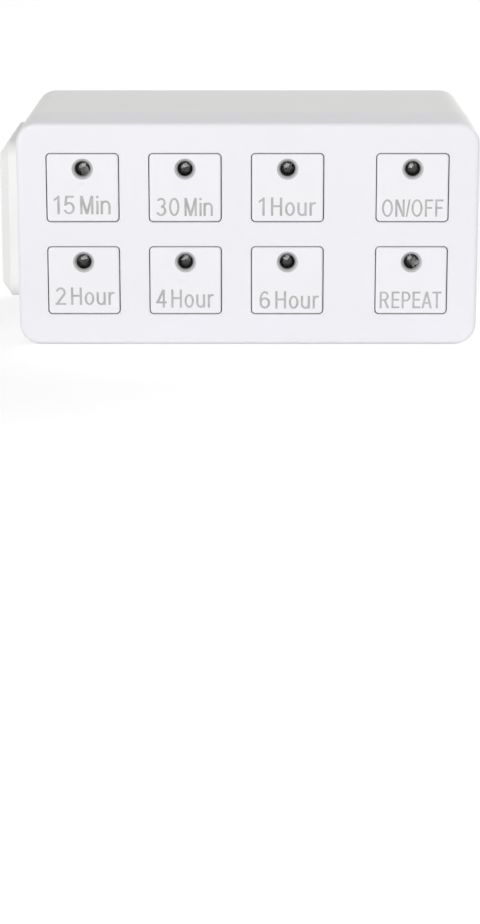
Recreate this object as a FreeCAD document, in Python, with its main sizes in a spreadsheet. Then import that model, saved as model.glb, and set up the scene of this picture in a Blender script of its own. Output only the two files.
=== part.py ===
"""Plug-in timer switch, built piece by piece in millimetres.

The origin is on the wall face, midway between the two plug blades.
+X is to the right seen from the front, +Y runs into the wall, +Z is up.
"""
import FreeCAD, Part
import math
import os
import re
import Sketcher

# Driving dimensions

SIZES = {
    "body_width": 70.0,             # case across, at the front face
    "body_height": 34.4,            # case top to bottom, at the front face
    "body_depth": 35.0,             # wall face to front face
    "plug_height": 17.2,            # blades above the case's bottom
    "corner_radius": 3.2,           # case corners seen from the front
    "cover_depth": 9.6,             # front face back to the parting line
    "draft": 0.5,                   # degrees that both shells widen to the parting line
    "front_edge_round": 0.7,
    "rear_edge_round": 1.0,
    "front_wall": 2.0,
    "side_wall": 2.0,
    "back_wall": 2.2,
    "tongue_wall": 0.9,             # the cover's tongue inside the housing rim
    "tongue_length": 1.5,
    "fit_gap": 0.1,                 # clearance between pieces that fit together

    "left_margin": 10.0,            # left side of the case to the middle of the first column
    "right_margin": 10.1,           # right side of the case to the middle of the last column
    "last_gap": 3.4,                # the last column stands this much further off
    "row_pitch": 14.4,
    "rows_rise": 0.1,               # middle of the two rows above the middle of the case
    "key_width": 10.8,
    "key_height": 10.4,
    "key_corner": 0.55,
    "key_edge_round": 0.3,
    "key_gap": 0.15,                # between a key and its window, each side
    "key_proud": 0.15,              # how far the keys stand out of the front face
    "key_top": 1.3,                 # thickness of a key's face
    "key_side": 1.2,                # thickness of a key's skirt
    "key_flange": 0.5,              # how far the flange reaches behind the window's edge
    "key_flange_wall": 0.8,
    "key_flange_corner": 2.0,
    "key_play": 0.05,               # between the flange and the front wall
    "key_travel": 0.4,
    "stem_radius": 1.5,
    "stem_drop": 2.3,               # push stem below the key's centre

    "lamp_rise": 2.9,               # indicator lamp above the key's centre
    "lamp_radius": 1.5,
    "lamp_hole_gap": 0.15,
    "lamp_recess": 0.6,             # lamp tip behind the key's face
    "lamp_window_radius": 1.15,     # opening that shows the lamp
    "lamp_ring_width": 0.45,        # sloped ring round that opening
    "lamp_ring_depth": 0.4,
    "lamp_lip": 0.25,               # key's plastic left behind the ring
    "lamp_length": 5.2,             # tip to base
    "lamp_flange_radius": 1.85,
    "lamp_flange_wall": 1.0,
    "lead_width": 0.5,
    "lead_pitch": 2.54,

    "board_wall": 1.6,
    "board_gap": 0.2,               # parting line in front of it to the control board's face
    "board_inset": 1.1,             # control board edge to the case wall
    "switch_size": 6.0,
    "switch_height": 3.5,
    "switch_plate_wall": 0.3,
    "plunger_radius": 1.75,
    "plunger_rise": 1.5,            # plunger above the switch plate
    "plunger_depth": 1.5,           # plunger below the top of the switch plate
    "plunger_gap": 0.2,
    "leg_width": 0.7,
    "leg_wall": 0.3,
    "leg_reach": 0.9,               # leg beyond the far side of the board

    "screw_radius": 1.0,            # case and board screws, over the thread
    "screw_hole_gap": 0.15,
    "screw_head_radius": 1.9,
    "screw_head_height": 1.5,
    "screw_slot": 0.5,
    "case_screw_seat": 12.0,        # depth of the head below the wall face
    "case_screw_inset": 5.0,        # right pair from the case's inner walls
    "boss_radius": 1.8,             # screw bosses on the cover
    "boss_floor": 1.0,              # solid left in front of a boss hole
    "screw_point_gap": 1.0,         # free hole in front of a screw's point
    "tunnel_radius": 2.6,           # screw tunnels of the housing
    "tunnel_gap": 0.25,             # between a tunnel and the boards or screw heads

    "chip_size": 6.0,
    "chip_height": 1.4,
    "chip_rise": 6.0,               # above the middle of the keys
    "crystal_length": 7.0,
    "crystal_radius": 1.2,
    "resistor_length": 2.0,
    "resistor_width": 1.25,
    "resistor_height": 0.5,
    "resistor_drop": 3.6,           # chip resistors below the lamps

    "power_board_gap": 0.6,         # power board's edge to the case's inner walls
    "standoff_height": 2.3,
    "standoff_radius": 2.2,
    "standoff_inset": 2.9,          # left standoff from the board's left edge
    "standoff_drop": 3.8,           # left standoff below the case's inner wall
    "right_standoff_across": 10.2,
    "right_standoff_drop": 5.2,
    "power_screw_length": 4.5,

    "relay_inset": 0.6,             # relay from the power board's right edge
    "relay_width": 12.4,
    "relay_end_gap": 1.1,           # relay to the case's inner walls
    "relay_headroom": 2.5,          # relay to the control board
    "relay_base_height": 2.0,
    "film_gap": 1.1,                # film capacitor to the left screw and the case's wall
    "film_length": 16.0,
    "film_width": 7.0,
    "film_height": 12.0,
    "can_gap": 0.6,                 # smoothing capacitor to the pin row
    "can_radius": 2.5,
    "can_height": 11.0,
    "disc_inset": 4.4,              # varistor from the board's left edge
    "disc_drop": 9.6,
    "disc_radius": 3.5,
    "disc_wall": 3.6,
    "disc_foot": 1.2,
    "diode_pitch": 2.6,
    "diode_drop": 10.4,
    "diode_radius": 1.2,
    "diode_length": 5.0,
    "fuse_inset": 3.3,              # fuse resistor from the board's left edge
    "fuse_drop": 1.0,
    "fuse_radius": 1.6,
    "fuse_length": 7.4,
    "link_gap": 0.9,                # pin row between the boards, to the relay
    "link_pitch": 2.0,
    "link_pin": 0.6,
    "link_block": 2.2,
    "link_block_height": 2.5,
    "link_overrun": 0.7,            # pins beyond the outer faces of the boards

    "blade_spacing": 12.7,          # between the flat blades, plug and outlet
    "blade_width": 6.35,
    "blade_wall": 1.52,
    "blade_length": 17.5,
    "blade_tip": 1.2,
    "blade_hole_radius": 1.6,
    "blade_hole_setback": 5.0,
    "blade_shoulder": 9.0,
    "blade_tab": 4.0,
    "blade_tab_rise": 1.5,
    "ground_drop": 11.89,           # ground pin below the blades, plug and outlet
    "ground_radius": 2.375,
    "ground_length": 21.0,
    "ground_neck_radius": 2.8,      # the pin's collar inside the back wall
    "ground_flange_radius": 3.1,
    "ground_flange_wall": 1.0,
    "rivet_radius": 1.5,
    "rivet_head_radius": 2.2,
    "rivet_head_wall": 0.3,

    "outlet_setback": 2.4,          # raised outlet on the left side, from the wall face
    "outlet_margin": 4.75,          # outlet to the top and the bottom of the case
    "outlet_corner": 3.0,
    "outlet_rise": 2.2,             # straight wall of the outlet out of the case
    "outlet_bevel_rise": 1.45,
    "outlet_bevel_inset": 2.0,
    "outlet_wall": 2.0,
    "outlet_skirt": 1.9,            # thickness of the outlet's own side walls
    "outlet_flange": 1.2,
    "outlet_flange_wall": 1.6,
    "outlet_flange_setback": 1.7,   # flange behind the parting line
    "slot_rise": 5.0,               # blade slots above the outlet's middle
    "slot_width": 2.2,
    "line_slot_height": 7.0,
    "neutral_slot_height": 8.6,
    "ground_hole_radius": 2.65,

    "carrier_gap": 0.15,            # carrier to the screw tunnel beside it
    "carrier_setback": 2.6,         # carrier behind the parting line
    "carrier_inset": 1.65,          # carrier inside the outlet's flange
    "carrier_end_wall": 1.0,
    "cell_half_width": 1.7,
    "cell_half_height": 4.2,
    "ground_cell_radius": 2.95,
    "rib_wall": 1.2,
    "rib_width": 2.6,
    "upper_rib_rise": 3.9,          # above the blade slots
    "lower_rib_drop": 9.0,          # below the blade slots

    "contact_sheet": 0.6,
    "contact_gap": 1.3,
    "contact_height": 6.0,
    "contact_setback": 1.2,         # contact mouths behind the outlet's front wall
    "ground_contact_radius": 2.3,   # inside, sprung onto the pin
    "ground_contact_slit": 1.2,
    "tail_width": 4.0,
    "bar_wall": 0.8,
    "tail_reach": 1.6,              # contact tails out of the carrier
    "line_bar_inset": 4.5,          # feet of the bars from the power board's left edge
    "neutral_bar_inset": 1.5,
    "strap_width": 5.0,
    "strap_overrun": 2.6,
}

KEY_NAMES = [["15_min", "30_min", "1_hour", "on_off"],
             ["2_hour", "4_hour", "6_hour", "repeat"]]
LINK_PINS = 5
DIODES = 4

# Places worked out from the sizes, as formulas

CASE_MIDDLE = "(body_height/2 - plug_height)"
FRONT = "(-body_depth)"
PARTING = "(cover_depth - body_depth)"
COVER_INSIDE = "(front_wall - body_depth)"
BACK_INSIDE = "(-back_wall)"
SPREAD = "cover_depth*tan(draft)"
HALF_WIDTH = f"(body_width/2 + {SPREAD})"
HALF_HEIGHT = f"(body_height/2 + {SPREAD})"
CAVITY_X = f"({HALF_WIDTH} - side_wall)"
CAVITY_Z = f"({HALF_HEIGHT} - side_wall)"
CAVITY_CORNER = f"(corner_radius + {SPREAD} - side_wall)"

BOARD_FRONT = f"({PARTING} - board_gap)"
BOARD_REAR = f"({BOARD_FRONT} + board_wall)"
SWITCH_TOP = f"({BOARD_FRONT} - switch_height)"
PLUNGER_TOP = f"({SWITCH_TOP} - plunger_rise)"
KEY_FACE = "(-body_depth - key_proud)"
FLANGE_FRONT = f"({COVER_INSIDE} + key_play)"
FLANGE_REAR = f"({FLANGE_FRONT} + key_flange_wall)"
KEY_CEILING = f"({KEY_FACE} + key_top)"
KEY_LIP = "(lamp_ring_depth + lamp_lip)"
LAMP_TIP = f"({KEY_FACE} + lamp_recess)"
LAMP_BASE = f"({LAMP_TIP} + lamp_length)"

POWER_REAR = f"({BACK_INSIDE} - standoff_height)"
POWER_FRONT = f"({POWER_REAR} - board_wall)"
CASE_SEAT = "(-case_screw_seat)"
BOSS_FLOOR = f"({COVER_INSIDE} + boss_floor)"
SCREW_TIP = f"({BOSS_FLOOR} + screw_point_gap)"


# Key grid and screw places

def column(index):
    """Middle of a column: three evenly spaced ones, and the last one further off."""
    if index == 3:
        return "(body_width/2 - right_margin)"
    pitch = "(body_width - left_margin - right_margin - last_gap)/3"
    return f"(left_margin - body_width/2 + {index}*{pitch})"


def row_rise(index):
    return f"({CASE_MIDDLE} + rows_rise + {0.5 - index}*row_pitch)"


def keys():
    for row_index, names in enumerate(KEY_NAMES):
        for column_index, name in enumerate(names):
            yield name, column(column_index), row_rise(row_index)


def between(index):
    """Midway between a column and the next one."""
    return f"(({column(index)} + {column(index + 1)})/2)"


def link_rise(index):
    return f"({ROWS_MIDDLE} + {index - (LINK_PINS - 1)/2}*link_pitch)"


ROWS_MIDDLE = f"({CASE_MIDDLE} + rows_rise)"
CASE_SCREWS = [(between(0), ROWS_MIDDLE),
               (between(2), f"({CASE_MIDDLE} + {CAVITY_Z} - case_screw_inset)"),
               (between(2), f"({CASE_MIDDLE} - {CAVITY_Z} + case_screw_inset)")]
BOARD_SCREWS = [(between(1), ROWS_MIDDLE)]

POWER_LEFT = f"({between(0)} + tunnel_radius + tunnel_gap)"
POWER_RIGHT = f"({CAVITY_X} - power_board_gap)"
STANDOFFS = [(f"({POWER_LEFT} + standoff_inset)", f"({CASE_MIDDLE} + {CAVITY_Z} - standoff_drop)"),
             ("right_standoff_across", "(-right_standoff_drop)")]
RELAY_LEFT = f"({POWER_RIGHT} - relay_inset - relay_width)"
LINK_ACROSS = f"({RELAY_LEFT} - link_gap - link_block/2)"
LINE_BAR = f"({POWER_LEFT} + line_bar_inset)"
NEUTRAL_BAR = f"({POWER_LEFT} + neutral_bar_inset)"

OUTLET_DEPTH = "(body_depth - cover_depth - outlet_setback)"
OUTLET_HEIGHT = "(body_height - 2*outlet_margin)"
OUTLET_MIDDLE = f"({PARTING} + {OUTLET_DEPTH}/2)"
OUTLET_EDGE = f"(-{HALF_WIDTH} - outlet_rise)"
OUTLET_FACE = f"({OUTLET_EDGE} - outlet_bevel_rise)"
OUTLET_FLOOR = f"({OUTLET_FACE} + outlet_wall)"
OUTLET_FLANGE_REAR = f"(-{CAVITY_X} + outlet_flange_wall)"
HOLLOW_HALF_DEPTH = f"({OUTLET_DEPTH}/2 - outlet_skirt)"
HOLLOW_HALF_HEIGHT = f"({OUTLET_HEIGHT}/2 - outlet_skirt)"
LINE_SLOT = f"({OUTLET_MIDDLE} - blade_spacing/2)"
NEUTRAL_SLOT = f"({OUTLET_MIDDLE} + blade_spacing/2)"
SLOT_RISE = f"({CASE_MIDDLE} + slot_rise)"
GROUND_HOLE = f"({SLOT_RISE} - ground_drop)"
CARRIER_RIGHT = f"({between(0)} - tunnel_radius - carrier_gap)"
CARRIER_FRONT = f"({PARTING} + carrier_setback)"
CELL_END = f"({CARRIER_RIGHT} - carrier_end_wall)"
CONTACT_LEFT = f"({OUTLET_FLOOR} + contact_setback)"
GROUND_FLANGE_TOP = f"({BACK_INSIDE} - ground_flange_wall)"
STRAP_TOP = f"({GROUND_FLANGE_TOP} - bar_wall)"
STRAP_LEFT = f"({CARRIER_RIGHT} + tail_reach)"

doc = FreeCAD.newDocument("plug_in_timer_switch")
sheet = doc.addObject("Spreadsheet::Sheet", "Sizes")
for row, (word, value) in enumerate(SIZES.items(), start=1):
    sheet.set(f"A{row}", word)
    sheet.set(f"B{row}", str(value))
    sheet.setAlias(f"B{row}", word)
doc.recompute()
gauge = doc.addObject("App::FeaturePython", "Gauge")
gauge.addProperty("App::PropertyFloat", "Reading")
sub_parts = []


def formula(text):
    """Point each size's name in a formula at its cell."""
    def cell(match):
        word = match.group()
        return "Sizes." + word if word in SIZES else word
    return re.sub(r"[a-z_]+", cell, text)


def number(text):
    """The present value of a formula."""
    gauge.setExpression("Reading", formula(text))
    gauge.recompute()
    return gauge.Reading


def bind(item, **formulas):
    for name, text in formulas.items():
        item.setExpression(name, formula(text))
    return item


def place(item, x, y, z):
    for axis, text in (("x", x), ("y", y), ("z", z)):
        item.setExpression(f"Placement.Base.{axis}", formula(text))
    return item


def keep(item, label):
    """Name a finished piece, so that it is written out."""
    item.Label = label
    sub_parts.append(item)
    return item


# Simple solids and what joins them

TURN = {"x": FreeCAD.Rotation(FreeCAD.Vector(0, 1, 0), 90),
        "y": FreeCAD.Rotation(FreeCAD.Vector(1, 0, 0), -90),
        "z": FreeCAD.Rotation()}


def box(name, x, y, z):
    """A block between two formulas along each axis."""
    item = doc.addObject("Part::Box", name)
    bind(item, Length=f"{x[1]} - {x[0]}", Width=f"{y[1]} - {y[0]}", Height=f"{z[1]} - {z[0]}")
    return place(item, x[0], y[0], z[0])


def around(centre, half):
    return (f"({centre} - {half})", f"({centre} + {half})")


def cylinder(name, axis, start, radius, length):
    item = doc.addObject("Part::Cylinder", name)
    item.Placement.Rotation = TURN[axis]
    bind(item, Radius=radius, Height=length)
    return place(item, *start)


def ball(name, centre, radius):
    item = doc.addObject("Part::Sphere", name)
    bind(item, Radius=radius)
    return place(item, *centre)


def fuse(name, items):
    item = doc.addObject("Part::MultiFuse", name)
    item.Shapes = items
    item.Refine = True
    return item


def cut(name, base, tools):
    item = doc.addObject("Part::Cut", name)
    item.Base = base
    item.Tool = tools[0] if len(tools) == 1 else fuse(name + "_tools", tools)
    return item


def group(name, items):
    """Like pieces that stay separate solids in one node."""
    item = doc.addObject("Part::Compound", name)
    item.Links = items
    return item


def turned(name, x, z, steps, tips=()):
    """A turned piece along Y from (start, end, radius) steps and (centre, radius) balls."""
    items = [cylinder(f"{name}_step_{index}", "y", (x, start, z), radius, f"{end} - {start}")
             for index, (start, end, radius) in enumerate(steps)]
    items += [ball(f"{name}_tip_{index}", (x, centre, z), radius)
              for index, (centre, radius) in enumerate(tips)]
    return fuse(name, items) if len(items) > 1 else items[0]


def screw(name, x, z, seat, length):
    """A slotted pan-head screw whose tip points forward from its seat."""
    blank = turned(name + "_blank", x, z,
                   [(f"({seat} - {length})", seat, "screw_radius"),
                    (seat, f"({seat} + screw_head_height)", "screw_head_radius")])
    slot = box(name + "_slot", around(x, "screw_head_radius"),
               (f"({seat} + screw_head_height/2)", f"({seat} + screw_head_height)"),
               around(z, "screw_slot/2"))
    return cut(name, blank, [slot])


# Bodies made from sketches

FACES = {"front": "XZ_Plane", "side": "YZ_Plane", "top": "XY_Plane"}


def new_body(label):
    return keep(doc.addObject("PartDesign::Body", label), label)


def sketch(body, name, face, offset):
    """A sketch on one of the body's own planes, moved along that plane's normal."""
    item = body.newObject("Sketcher::SketchObject", name)
    plane = [feature for feature in body.Origin.OriginFeatures if feature.Role == FACES[face]][0]
    item.AttachmentSupport = [(plane, "")]
    item.MapMode = "FlatFace"
    sign = "-" if face == "front" else ""
    item.setExpression("AttachmentOffset.Base.z", formula(f"{sign}({offset})"))
    return item


def fix(item, plain, sized):
    """Add plain constraints and then sized ones, each with the formula of its size."""
    item.addConstraint(plain + [constraint for constraint, text in sized])
    first = item.ConstraintCount - len(sized)
    for index, (constraint, text) in enumerate(sized, start=first):
        item.setExpression(f"Constraints[{index}]", formula(text))


def rounded(item, across, up, width, height, radius):
    """A rounded rectangle about a centre."""
    x, y, wide, high, bend = [number(text) for text in (across, up, width, height, radius)]
    left, right, low, top = x - wide/2, x + wide/2, y - high/2, y + high/2
    corners = [(right - bend, low + bend), (right - bend, top - bend),
               (left + bend, top - bend), (left + bend, low + bend)]
    sides = [((left + bend, low), (right - bend, low)), ((right, low + bend), (right, top - bend)),
             ((right - bend, top), (left + bend, top)), ((left, top - bend), (left, low + bend))]
    first = item.GeometryCount
    lines = []
    for index in range(4):
        start, end = sides[index]
        lines.append(Part.LineSegment(FreeCAD.Vector(*start, 0), FreeCAD.Vector(*end, 0)))
        circle_line = Part.Circle(FreeCAD.Vector(*corners[index], 0), FreeCAD.Vector(0, 0, 1), bend)
        turn = (index - 1)*math.pi/2
        lines.append(Part.ArcOfCircle(circle_line, turn, turn + math.pi/2))
    item.addGeometry(lines, False)
    rule = Sketcher.Constraint
    plain = [rule("Tangent", first + index, 2, first + (index + 1) % 8, 1) for index in range(8)]
    plain += [rule(direction, first + 2*index)
              for index, direction in enumerate(("Horizontal", "Vertical", "Horizontal", "Vertical"))]
    plain += [rule("Equal", first + 1, first + index) for index in (3, 5, 7)]
    fix(item, plain, [
        (rule("Radius", first + 1, bend), radius),
        (rule("DistanceX", first + 6, 1, first + 2, 1, right - left), width),
        (rule("DistanceY", first, 1, first + 4, 1, top - low), height),
        (rule("DistanceX", -1, 1, first + 6, 1, left), f"{across} - ({width})/2"),
        (rule("DistanceY", -1, 1, first, 1, low), f"{up} - ({height})/2")])


def circle(item, across, up, radius):
    x, y, size = [number(text) for text in (across, up, radius)]
    index = item.addGeometry(Part.Circle(FreeCAD.Vector(x, y, 0), FreeCAD.Vector(0, 0, 1), size), False)
    rule = Sketcher.Constraint
    fix(item, [], [(rule("Radius", index, size), radius),
                   (rule("DistanceX", -1, 1, index, 3, x), across),
                   (rule("DistanceY", -1, 1, index, 3, y), up)])


def outline(item, points):
    """A closed outline of straight lines through points given as formulas."""
    places = [(number(x), number(y)) for x, y in points]
    first = item.GeometryCount
    item.addGeometry([Part.LineSegment(FreeCAD.Vector(*start, 0), FreeCAD.Vector(*end, 0))
                      for start, end in zip(places, places[1:] + places[:1])], False)
    rule = Sketcher.Constraint
    count = len(points)
    plain = [rule("Coincident", first + index, 2, first + (index + 1) % count, 1) for index in range(count)]
    sized = []
    for index, (x, y) in enumerate(points):
        sized.append((rule("DistanceX", -1, 1, first + index, 1, places[index][0]), x))
        sized.append((rule("DistanceY", -1, 1, first + index, 1, places[index][1]), y))
    fix(item, plain, sized)


def rectangle(item, across, up):
    outline(item, [(across[0], up[0]), (across[1], up[0]), (across[1], up[1]), (across[0], up[1])])


def pad(body, profile, length, toward_plus, taper=None):
    """Add material from a sketch, toward the plus or the minus side of its axis."""
    item = body.newObject("PartDesign::Pad", profile.Name + "_pad")
    item.Profile = profile
    item.Reversed = toward_plus == (FACES["front"] == plane_role(profile))
    bind(item, Length=length)
    if taper:
        bind(item, TaperAngle=taper)
    profile.Visibility = False
    return item


def pocket(body, profile, length, toward_plus, taper=None):
    """Cut a sketch's outline away, toward the plus or the minus side of its axis."""
    item = body.newObject("PartDesign::Pocket", profile.Name + "_pocket")
    item.Profile = profile
    item.Reversed = toward_plus != (FACES["front"] == plane_role(profile))
    bind(item, Length=length)
    if taper:
        bind(item, TaperAngle=taper)
    profile.Visibility = False
    return item


def plane_role(profile):
    return profile.AttachmentSupport[0][0].Role


def round_edges(body, name, radius, chosen):
    """Round the edges of the body's last feature that a test picks."""
    doc.recompute()
    base = body.Tip
    names = [f"Edge{index}" for index, edge in enumerate(base.Shape.Edges, start=1) if chosen(edge)]
    item = body.newObject("PartDesign::Fillet", name)
    item.Base = (base, names)
    bind(item, Radius=radius)
    return item


def lies_at(axis, text):
    """A test that an edge lies wholly in the plane across an axis at a formula's value."""
    place_value = number(text)

    def test(edge):
        bounds = edge.BoundBox
        low, high = {"x": (bounds.XMin, bounds.XMax), "y": (bounds.YMin, bounds.YMax),
                     "z": (bounds.ZMin, bounds.ZMax)}[axis]
        return abs(low - place_value) < 0.001 and abs(high - place_value) < 0.001
    return test


# Shells

def front_cover():
    body = new_body("front_cover")
    face = sketch(body, "cover_face", "front", FRONT)
    rounded(face, "0", CASE_MIDDLE, "body_width", "body_height", "corner_radius")
    pad(body, face, "cover_depth", True, taper="draft")
    round_edges(body, "cover_front_round", "front_edge_round", lies_at("y", FRONT))

    cavity = sketch(body, "cover_cavity", "front", PARTING)
    rounded(cavity, "0", CASE_MIDDLE, f"2*{CAVITY_X}", f"2*{CAVITY_Z}", CAVITY_CORNER)
    pocket(body, cavity, "cover_depth - front_wall", False)

    tongue = sketch(body, "cover_tongue", "front", PARTING)
    rounded(tongue, "0", CASE_MIDDLE, f"2*({CAVITY_X} + tongue_wall)", f"2*({CAVITY_Z} + tongue_wall)",
            f"({CAVITY_CORNER} + tongue_wall)")
    rounded(tongue, "0", CASE_MIDDLE, f"2*{CAVITY_X}", f"2*{CAVITY_Z}", CAVITY_CORNER)
    pad(body, tongue, "tongue_length", True)
    gate = sketch(body, "cover_tongue_gate", "front", PARTING)
    rectangle(gate, (f"(-{HALF_WIDTH} - 1)", f"(-{CAVITY_X} + 1)"),
              around(CASE_MIDDLE, f"({OUTLET_HEIGHT}/2 + outlet_flange + fit_gap)"))
    pocket(body, gate, "tongue_length + 1", True)

    windows = sketch(body, "cover_windows", "front", FRONT)
    for name, x, z in keys():
        rounded(windows, x, z, "key_width + 2*key_gap", "key_height + 2*key_gap", "key_corner + key_gap")
    pocket(body, windows, "front_wall + 1", True)

    bosses = sketch(body, "cover_bosses", "front", BOARD_FRONT)
    for x, z in CASE_SCREWS + BOARD_SCREWS:
        circle(bosses, x, z, "boss_radius")
    pad(body, bosses, f"{BOARD_FRONT} - {COVER_INSIDE}", False)
    holes = sketch(body, "cover_boss_holes", "front", BOARD_FRONT)
    for x, z in CASE_SCREWS + BOARD_SCREWS:
        circle(holes, x, z, "screw_radius")
    pocket(body, holes, f"{BOARD_FRONT} - {BOSS_FLOOR}", False)


def rear_housing():
    body = new_body("rear_housing")
    rim = sketch(body, "housing_rim", "front", PARTING)
    rounded(rim, "0", CASE_MIDDLE, f"2*{HALF_WIDTH}", f"2*{HALF_HEIGHT}", f"corner_radius + {SPREAD}")
    pad(body, rim, "body_depth - cover_depth", True, taper="-draft")
    round_edges(body, "housing_rear_round", "rear_edge_round", lies_at("y", "0"))

    cavity = sketch(body, "housing_cavity", "front", PARTING)
    rounded(cavity, "0", CASE_MIDDLE, f"2*{CAVITY_X}", f"2*{CAVITY_Z}", CAVITY_CORNER)
    pocket(body, cavity, "body_depth - cover_depth - back_wall", True)
    rebate = sketch(body, "housing_rebate", "front", PARTING)
    rounded(rebate, "0", CASE_MIDDLE, f"2*({CAVITY_X} + tongue_wall + fit_gap)",
            f"2*({CAVITY_Z} + tongue_wall + fit_gap)", f"({CAVITY_CORNER} + tongue_wall + fit_gap)")
    pocket(body, rebate, "tongue_length + fit_gap", True)

    tunnels = sketch(body, "housing_tunnels", "front", BACK_INSIDE)
    for x, z in CASE_SCREWS:
        circle(tunnels, x, z, "tunnel_radius")
    pad(body, tunnels, f"{BACK_INSIDE} - {BOARD_REAR}", False)
    standoffs = sketch(body, "housing_standoffs", "front", BACK_INSIDE)
    for x, z in STANDOFFS:
        circle(standoffs, x, z, "standoff_radius")
    pad(body, standoffs, "standoff_height", False)
    ribs = sketch(body, "housing_ribs", "front", BACK_INSIDE)
    for rise in (f"({SLOT_RISE} + upper_rib_rise)", f"({SLOT_RISE} - lower_rib_drop)"):
        rectangle(ribs, (CARRIER_RIGHT, f"({CARRIER_RIGHT} + rib_wall)"), around(rise, "rib_width/2"))
    pad(body, ribs, f"{BACK_INSIDE} - {CARRIER_FRONT} - rib_wall", False)

    holes = sketch(body, "housing_screw_holes", "front", "0")
    for x, z in CASE_SCREWS:
        circle(holes, x, z, "screw_radius + screw_hole_gap")
    pocket(body, holes, "body_depth - cover_depth + 1", False)
    wells = sketch(body, "housing_screw_wells", "front", "0")
    for x, z in CASE_SCREWS:
        circle(wells, x, z, "screw_head_radius + fit_gap")
    pocket(body, wells, "case_screw_seat", False)
    sockets = sketch(body, "housing_standoff_holes", "front", POWER_REAR)
    for x, z in STANDOFFS:
        circle(sockets, x, z, "screw_radius")
    pocket(body, sockets, "power_screw_length - board_wall + fit_gap", True)

    blades = sketch(body, "housing_blade_slots", "front", "0")
    for x in ("-blade_spacing/2", "blade_spacing/2"):
        rectangle(blades, around(x, "(blade_wall/2 + fit_gap)"), around("0", "(blade_width/2 + fit_gap)"))
    circle(blades, "0", "-ground_drop", "ground_neck_radius + fit_gap")
    pocket(body, blades, "back_wall + 1", False)

    notch = sketch(body, "housing_outlet_notch", "side", f"-{CAVITY_X} + 1")
    margin = "(outlet_corner + 1)"
    rounded(notch, f"({OUTLET_MIDDLE} - {margin}/2)", CASE_MIDDLE,
            f"({OUTLET_DEPTH} + {margin} + 2*fit_gap)", f"{OUTLET_HEIGHT} + 2*fit_gap",
            "outlet_corner + fit_gap")
    pocket(body, notch, "side_wall + 2", False)


def outlet_plate():
    body = new_body("outlet_plate")
    block = sketch(body, "outlet_block", "side", f"-{CAVITY_X}")
    rounded(block, OUTLET_MIDDLE, CASE_MIDDLE, OUTLET_DEPTH, OUTLET_HEIGHT, "outlet_corner")
    pad(body, block, f"-{CAVITY_X} - {OUTLET_EDGE}", False)
    bevel = sketch(body, "outlet_bevel", "side", OUTLET_EDGE)
    rounded(bevel, OUTLET_MIDDLE, CASE_MIDDLE, OUTLET_DEPTH, OUTLET_HEIGHT, "outlet_corner")
    pad(body, bevel, "outlet_bevel_rise", False, taper="-atan(outlet_bevel_inset/outlet_bevel_rise)")
    collar = sketch(body, "outlet_collar", "side", f"-{CAVITY_X}")
    rectangle(collar, (PARTING, OUTLET_MIDDLE), around(CASE_MIDDLE, f"({OUTLET_HEIGHT}/2)"))
    pad(body, collar, "side_wall - fit_gap", False)
    flange = sketch(body, "outlet_flange_outline", "side", f"-{CAVITY_X}")
    rectangle(flange, (f"({PARTING} + outlet_flange_setback)", BACK_INSIDE),
              around(CASE_MIDDLE, f"({OUTLET_HEIGHT}/2 + outlet_flange)"))
    pad(body, flange, "outlet_flange_wall", True)
    hollow = sketch(body, "outlet_hollow", "side", OUTLET_FLANGE_REAR)
    rectangle(hollow, around(OUTLET_MIDDLE, HOLLOW_HALF_DEPTH), around(CASE_MIDDLE, HOLLOW_HALF_HEIGHT))
    pocket(body, hollow, f"{OUTLET_FLANGE_REAR} - {OUTLET_FLOOR}", False)
    slots = sketch(body, "outlet_slots", "side", OUTLET_FACE)
    for y, height in ((LINE_SLOT, "line_slot_height"), (NEUTRAL_SLOT, "neutral_slot_height")):
        rectangle(slots, around(y, "slot_width/2"), around(SLOT_RISE, f"{height}/2"))
    circle(slots, OUTLET_MIDDLE, GROUND_HOLE, "ground_hole_radius")
    pocket(body, slots, "outlet_wall + 1", True)


# Keys, switches and lamps

def key_cap(name, x, z):
    body = new_body("key_" + name)
    face = sketch(body, f"key_{name}_face", "front", KEY_FACE)
    rounded(face, x, z, "key_width", "key_height", "key_corner")
    pad(body, face, f"{FLANGE_FRONT} - {KEY_FACE}", True)
    round_edges(body, f"key_{name}_round", "key_edge_round", lies_at("y", KEY_FACE))
    flange = sketch(body, f"key_{name}_flange", "front", FLANGE_FRONT)
    rounded(flange, x, z, "key_width + 2*(key_gap + key_flange)", "key_height + 2*(key_gap + key_flange)",
            "key_flange_corner")
    pad(body, flange, "key_flange_wall", True)
    hollow = sketch(body, f"key_{name}_hollow", "front", FLANGE_REAR)
    rectangle(hollow, around(x, "(key_width/2 - key_side)"), around(z, "(key_height/2 - key_side)"))
    pocket(body, hollow, f"{FLANGE_REAR} - {KEY_CEILING}", False)
    stem = sketch(body, f"key_{name}_stem", "front", PLUNGER_TOP)
    circle(stem, x, f"({z} - stem_drop)", "stem_radius")
    pad(body, stem, f"{PLUNGER_TOP} - {KEY_CEILING} + key_top/2", False)
    lamp_z = f"({z} + lamp_rise)"
    window = sketch(body, f"key_{name}_lamp_window", "front", KEY_FACE)
    circle(window, x, lamp_z, "lamp_window_radius")
    pocket(body, window, KEY_LIP, True)
    ring = sketch(body, f"key_{name}_lamp_ring", "front", KEY_FACE)
    circle(ring, x, lamp_z, "lamp_window_radius + lamp_ring_width")
    pocket(body, ring, "lamp_ring_depth", True, taper="-atan(lamp_ring_width/lamp_ring_depth)")
    bore = sketch(body, f"key_{name}_lamp_bore", "front", FLANGE_REAR)
    circle(bore, x, lamp_z, "lamp_radius + lamp_hole_gap")
    pocket(body, bore, f"{FLANGE_REAR} - {KEY_FACE} - {KEY_LIP}", False)


def plunger(name, x, z):
    keep(turned(f"plunger_{name}", x, f"({z} - stem_drop)",
                [(PLUNGER_TOP, f"({SWITCH_TOP} + plunger_depth)", "plunger_radius")]),
         f"plunger_{name}")


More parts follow.
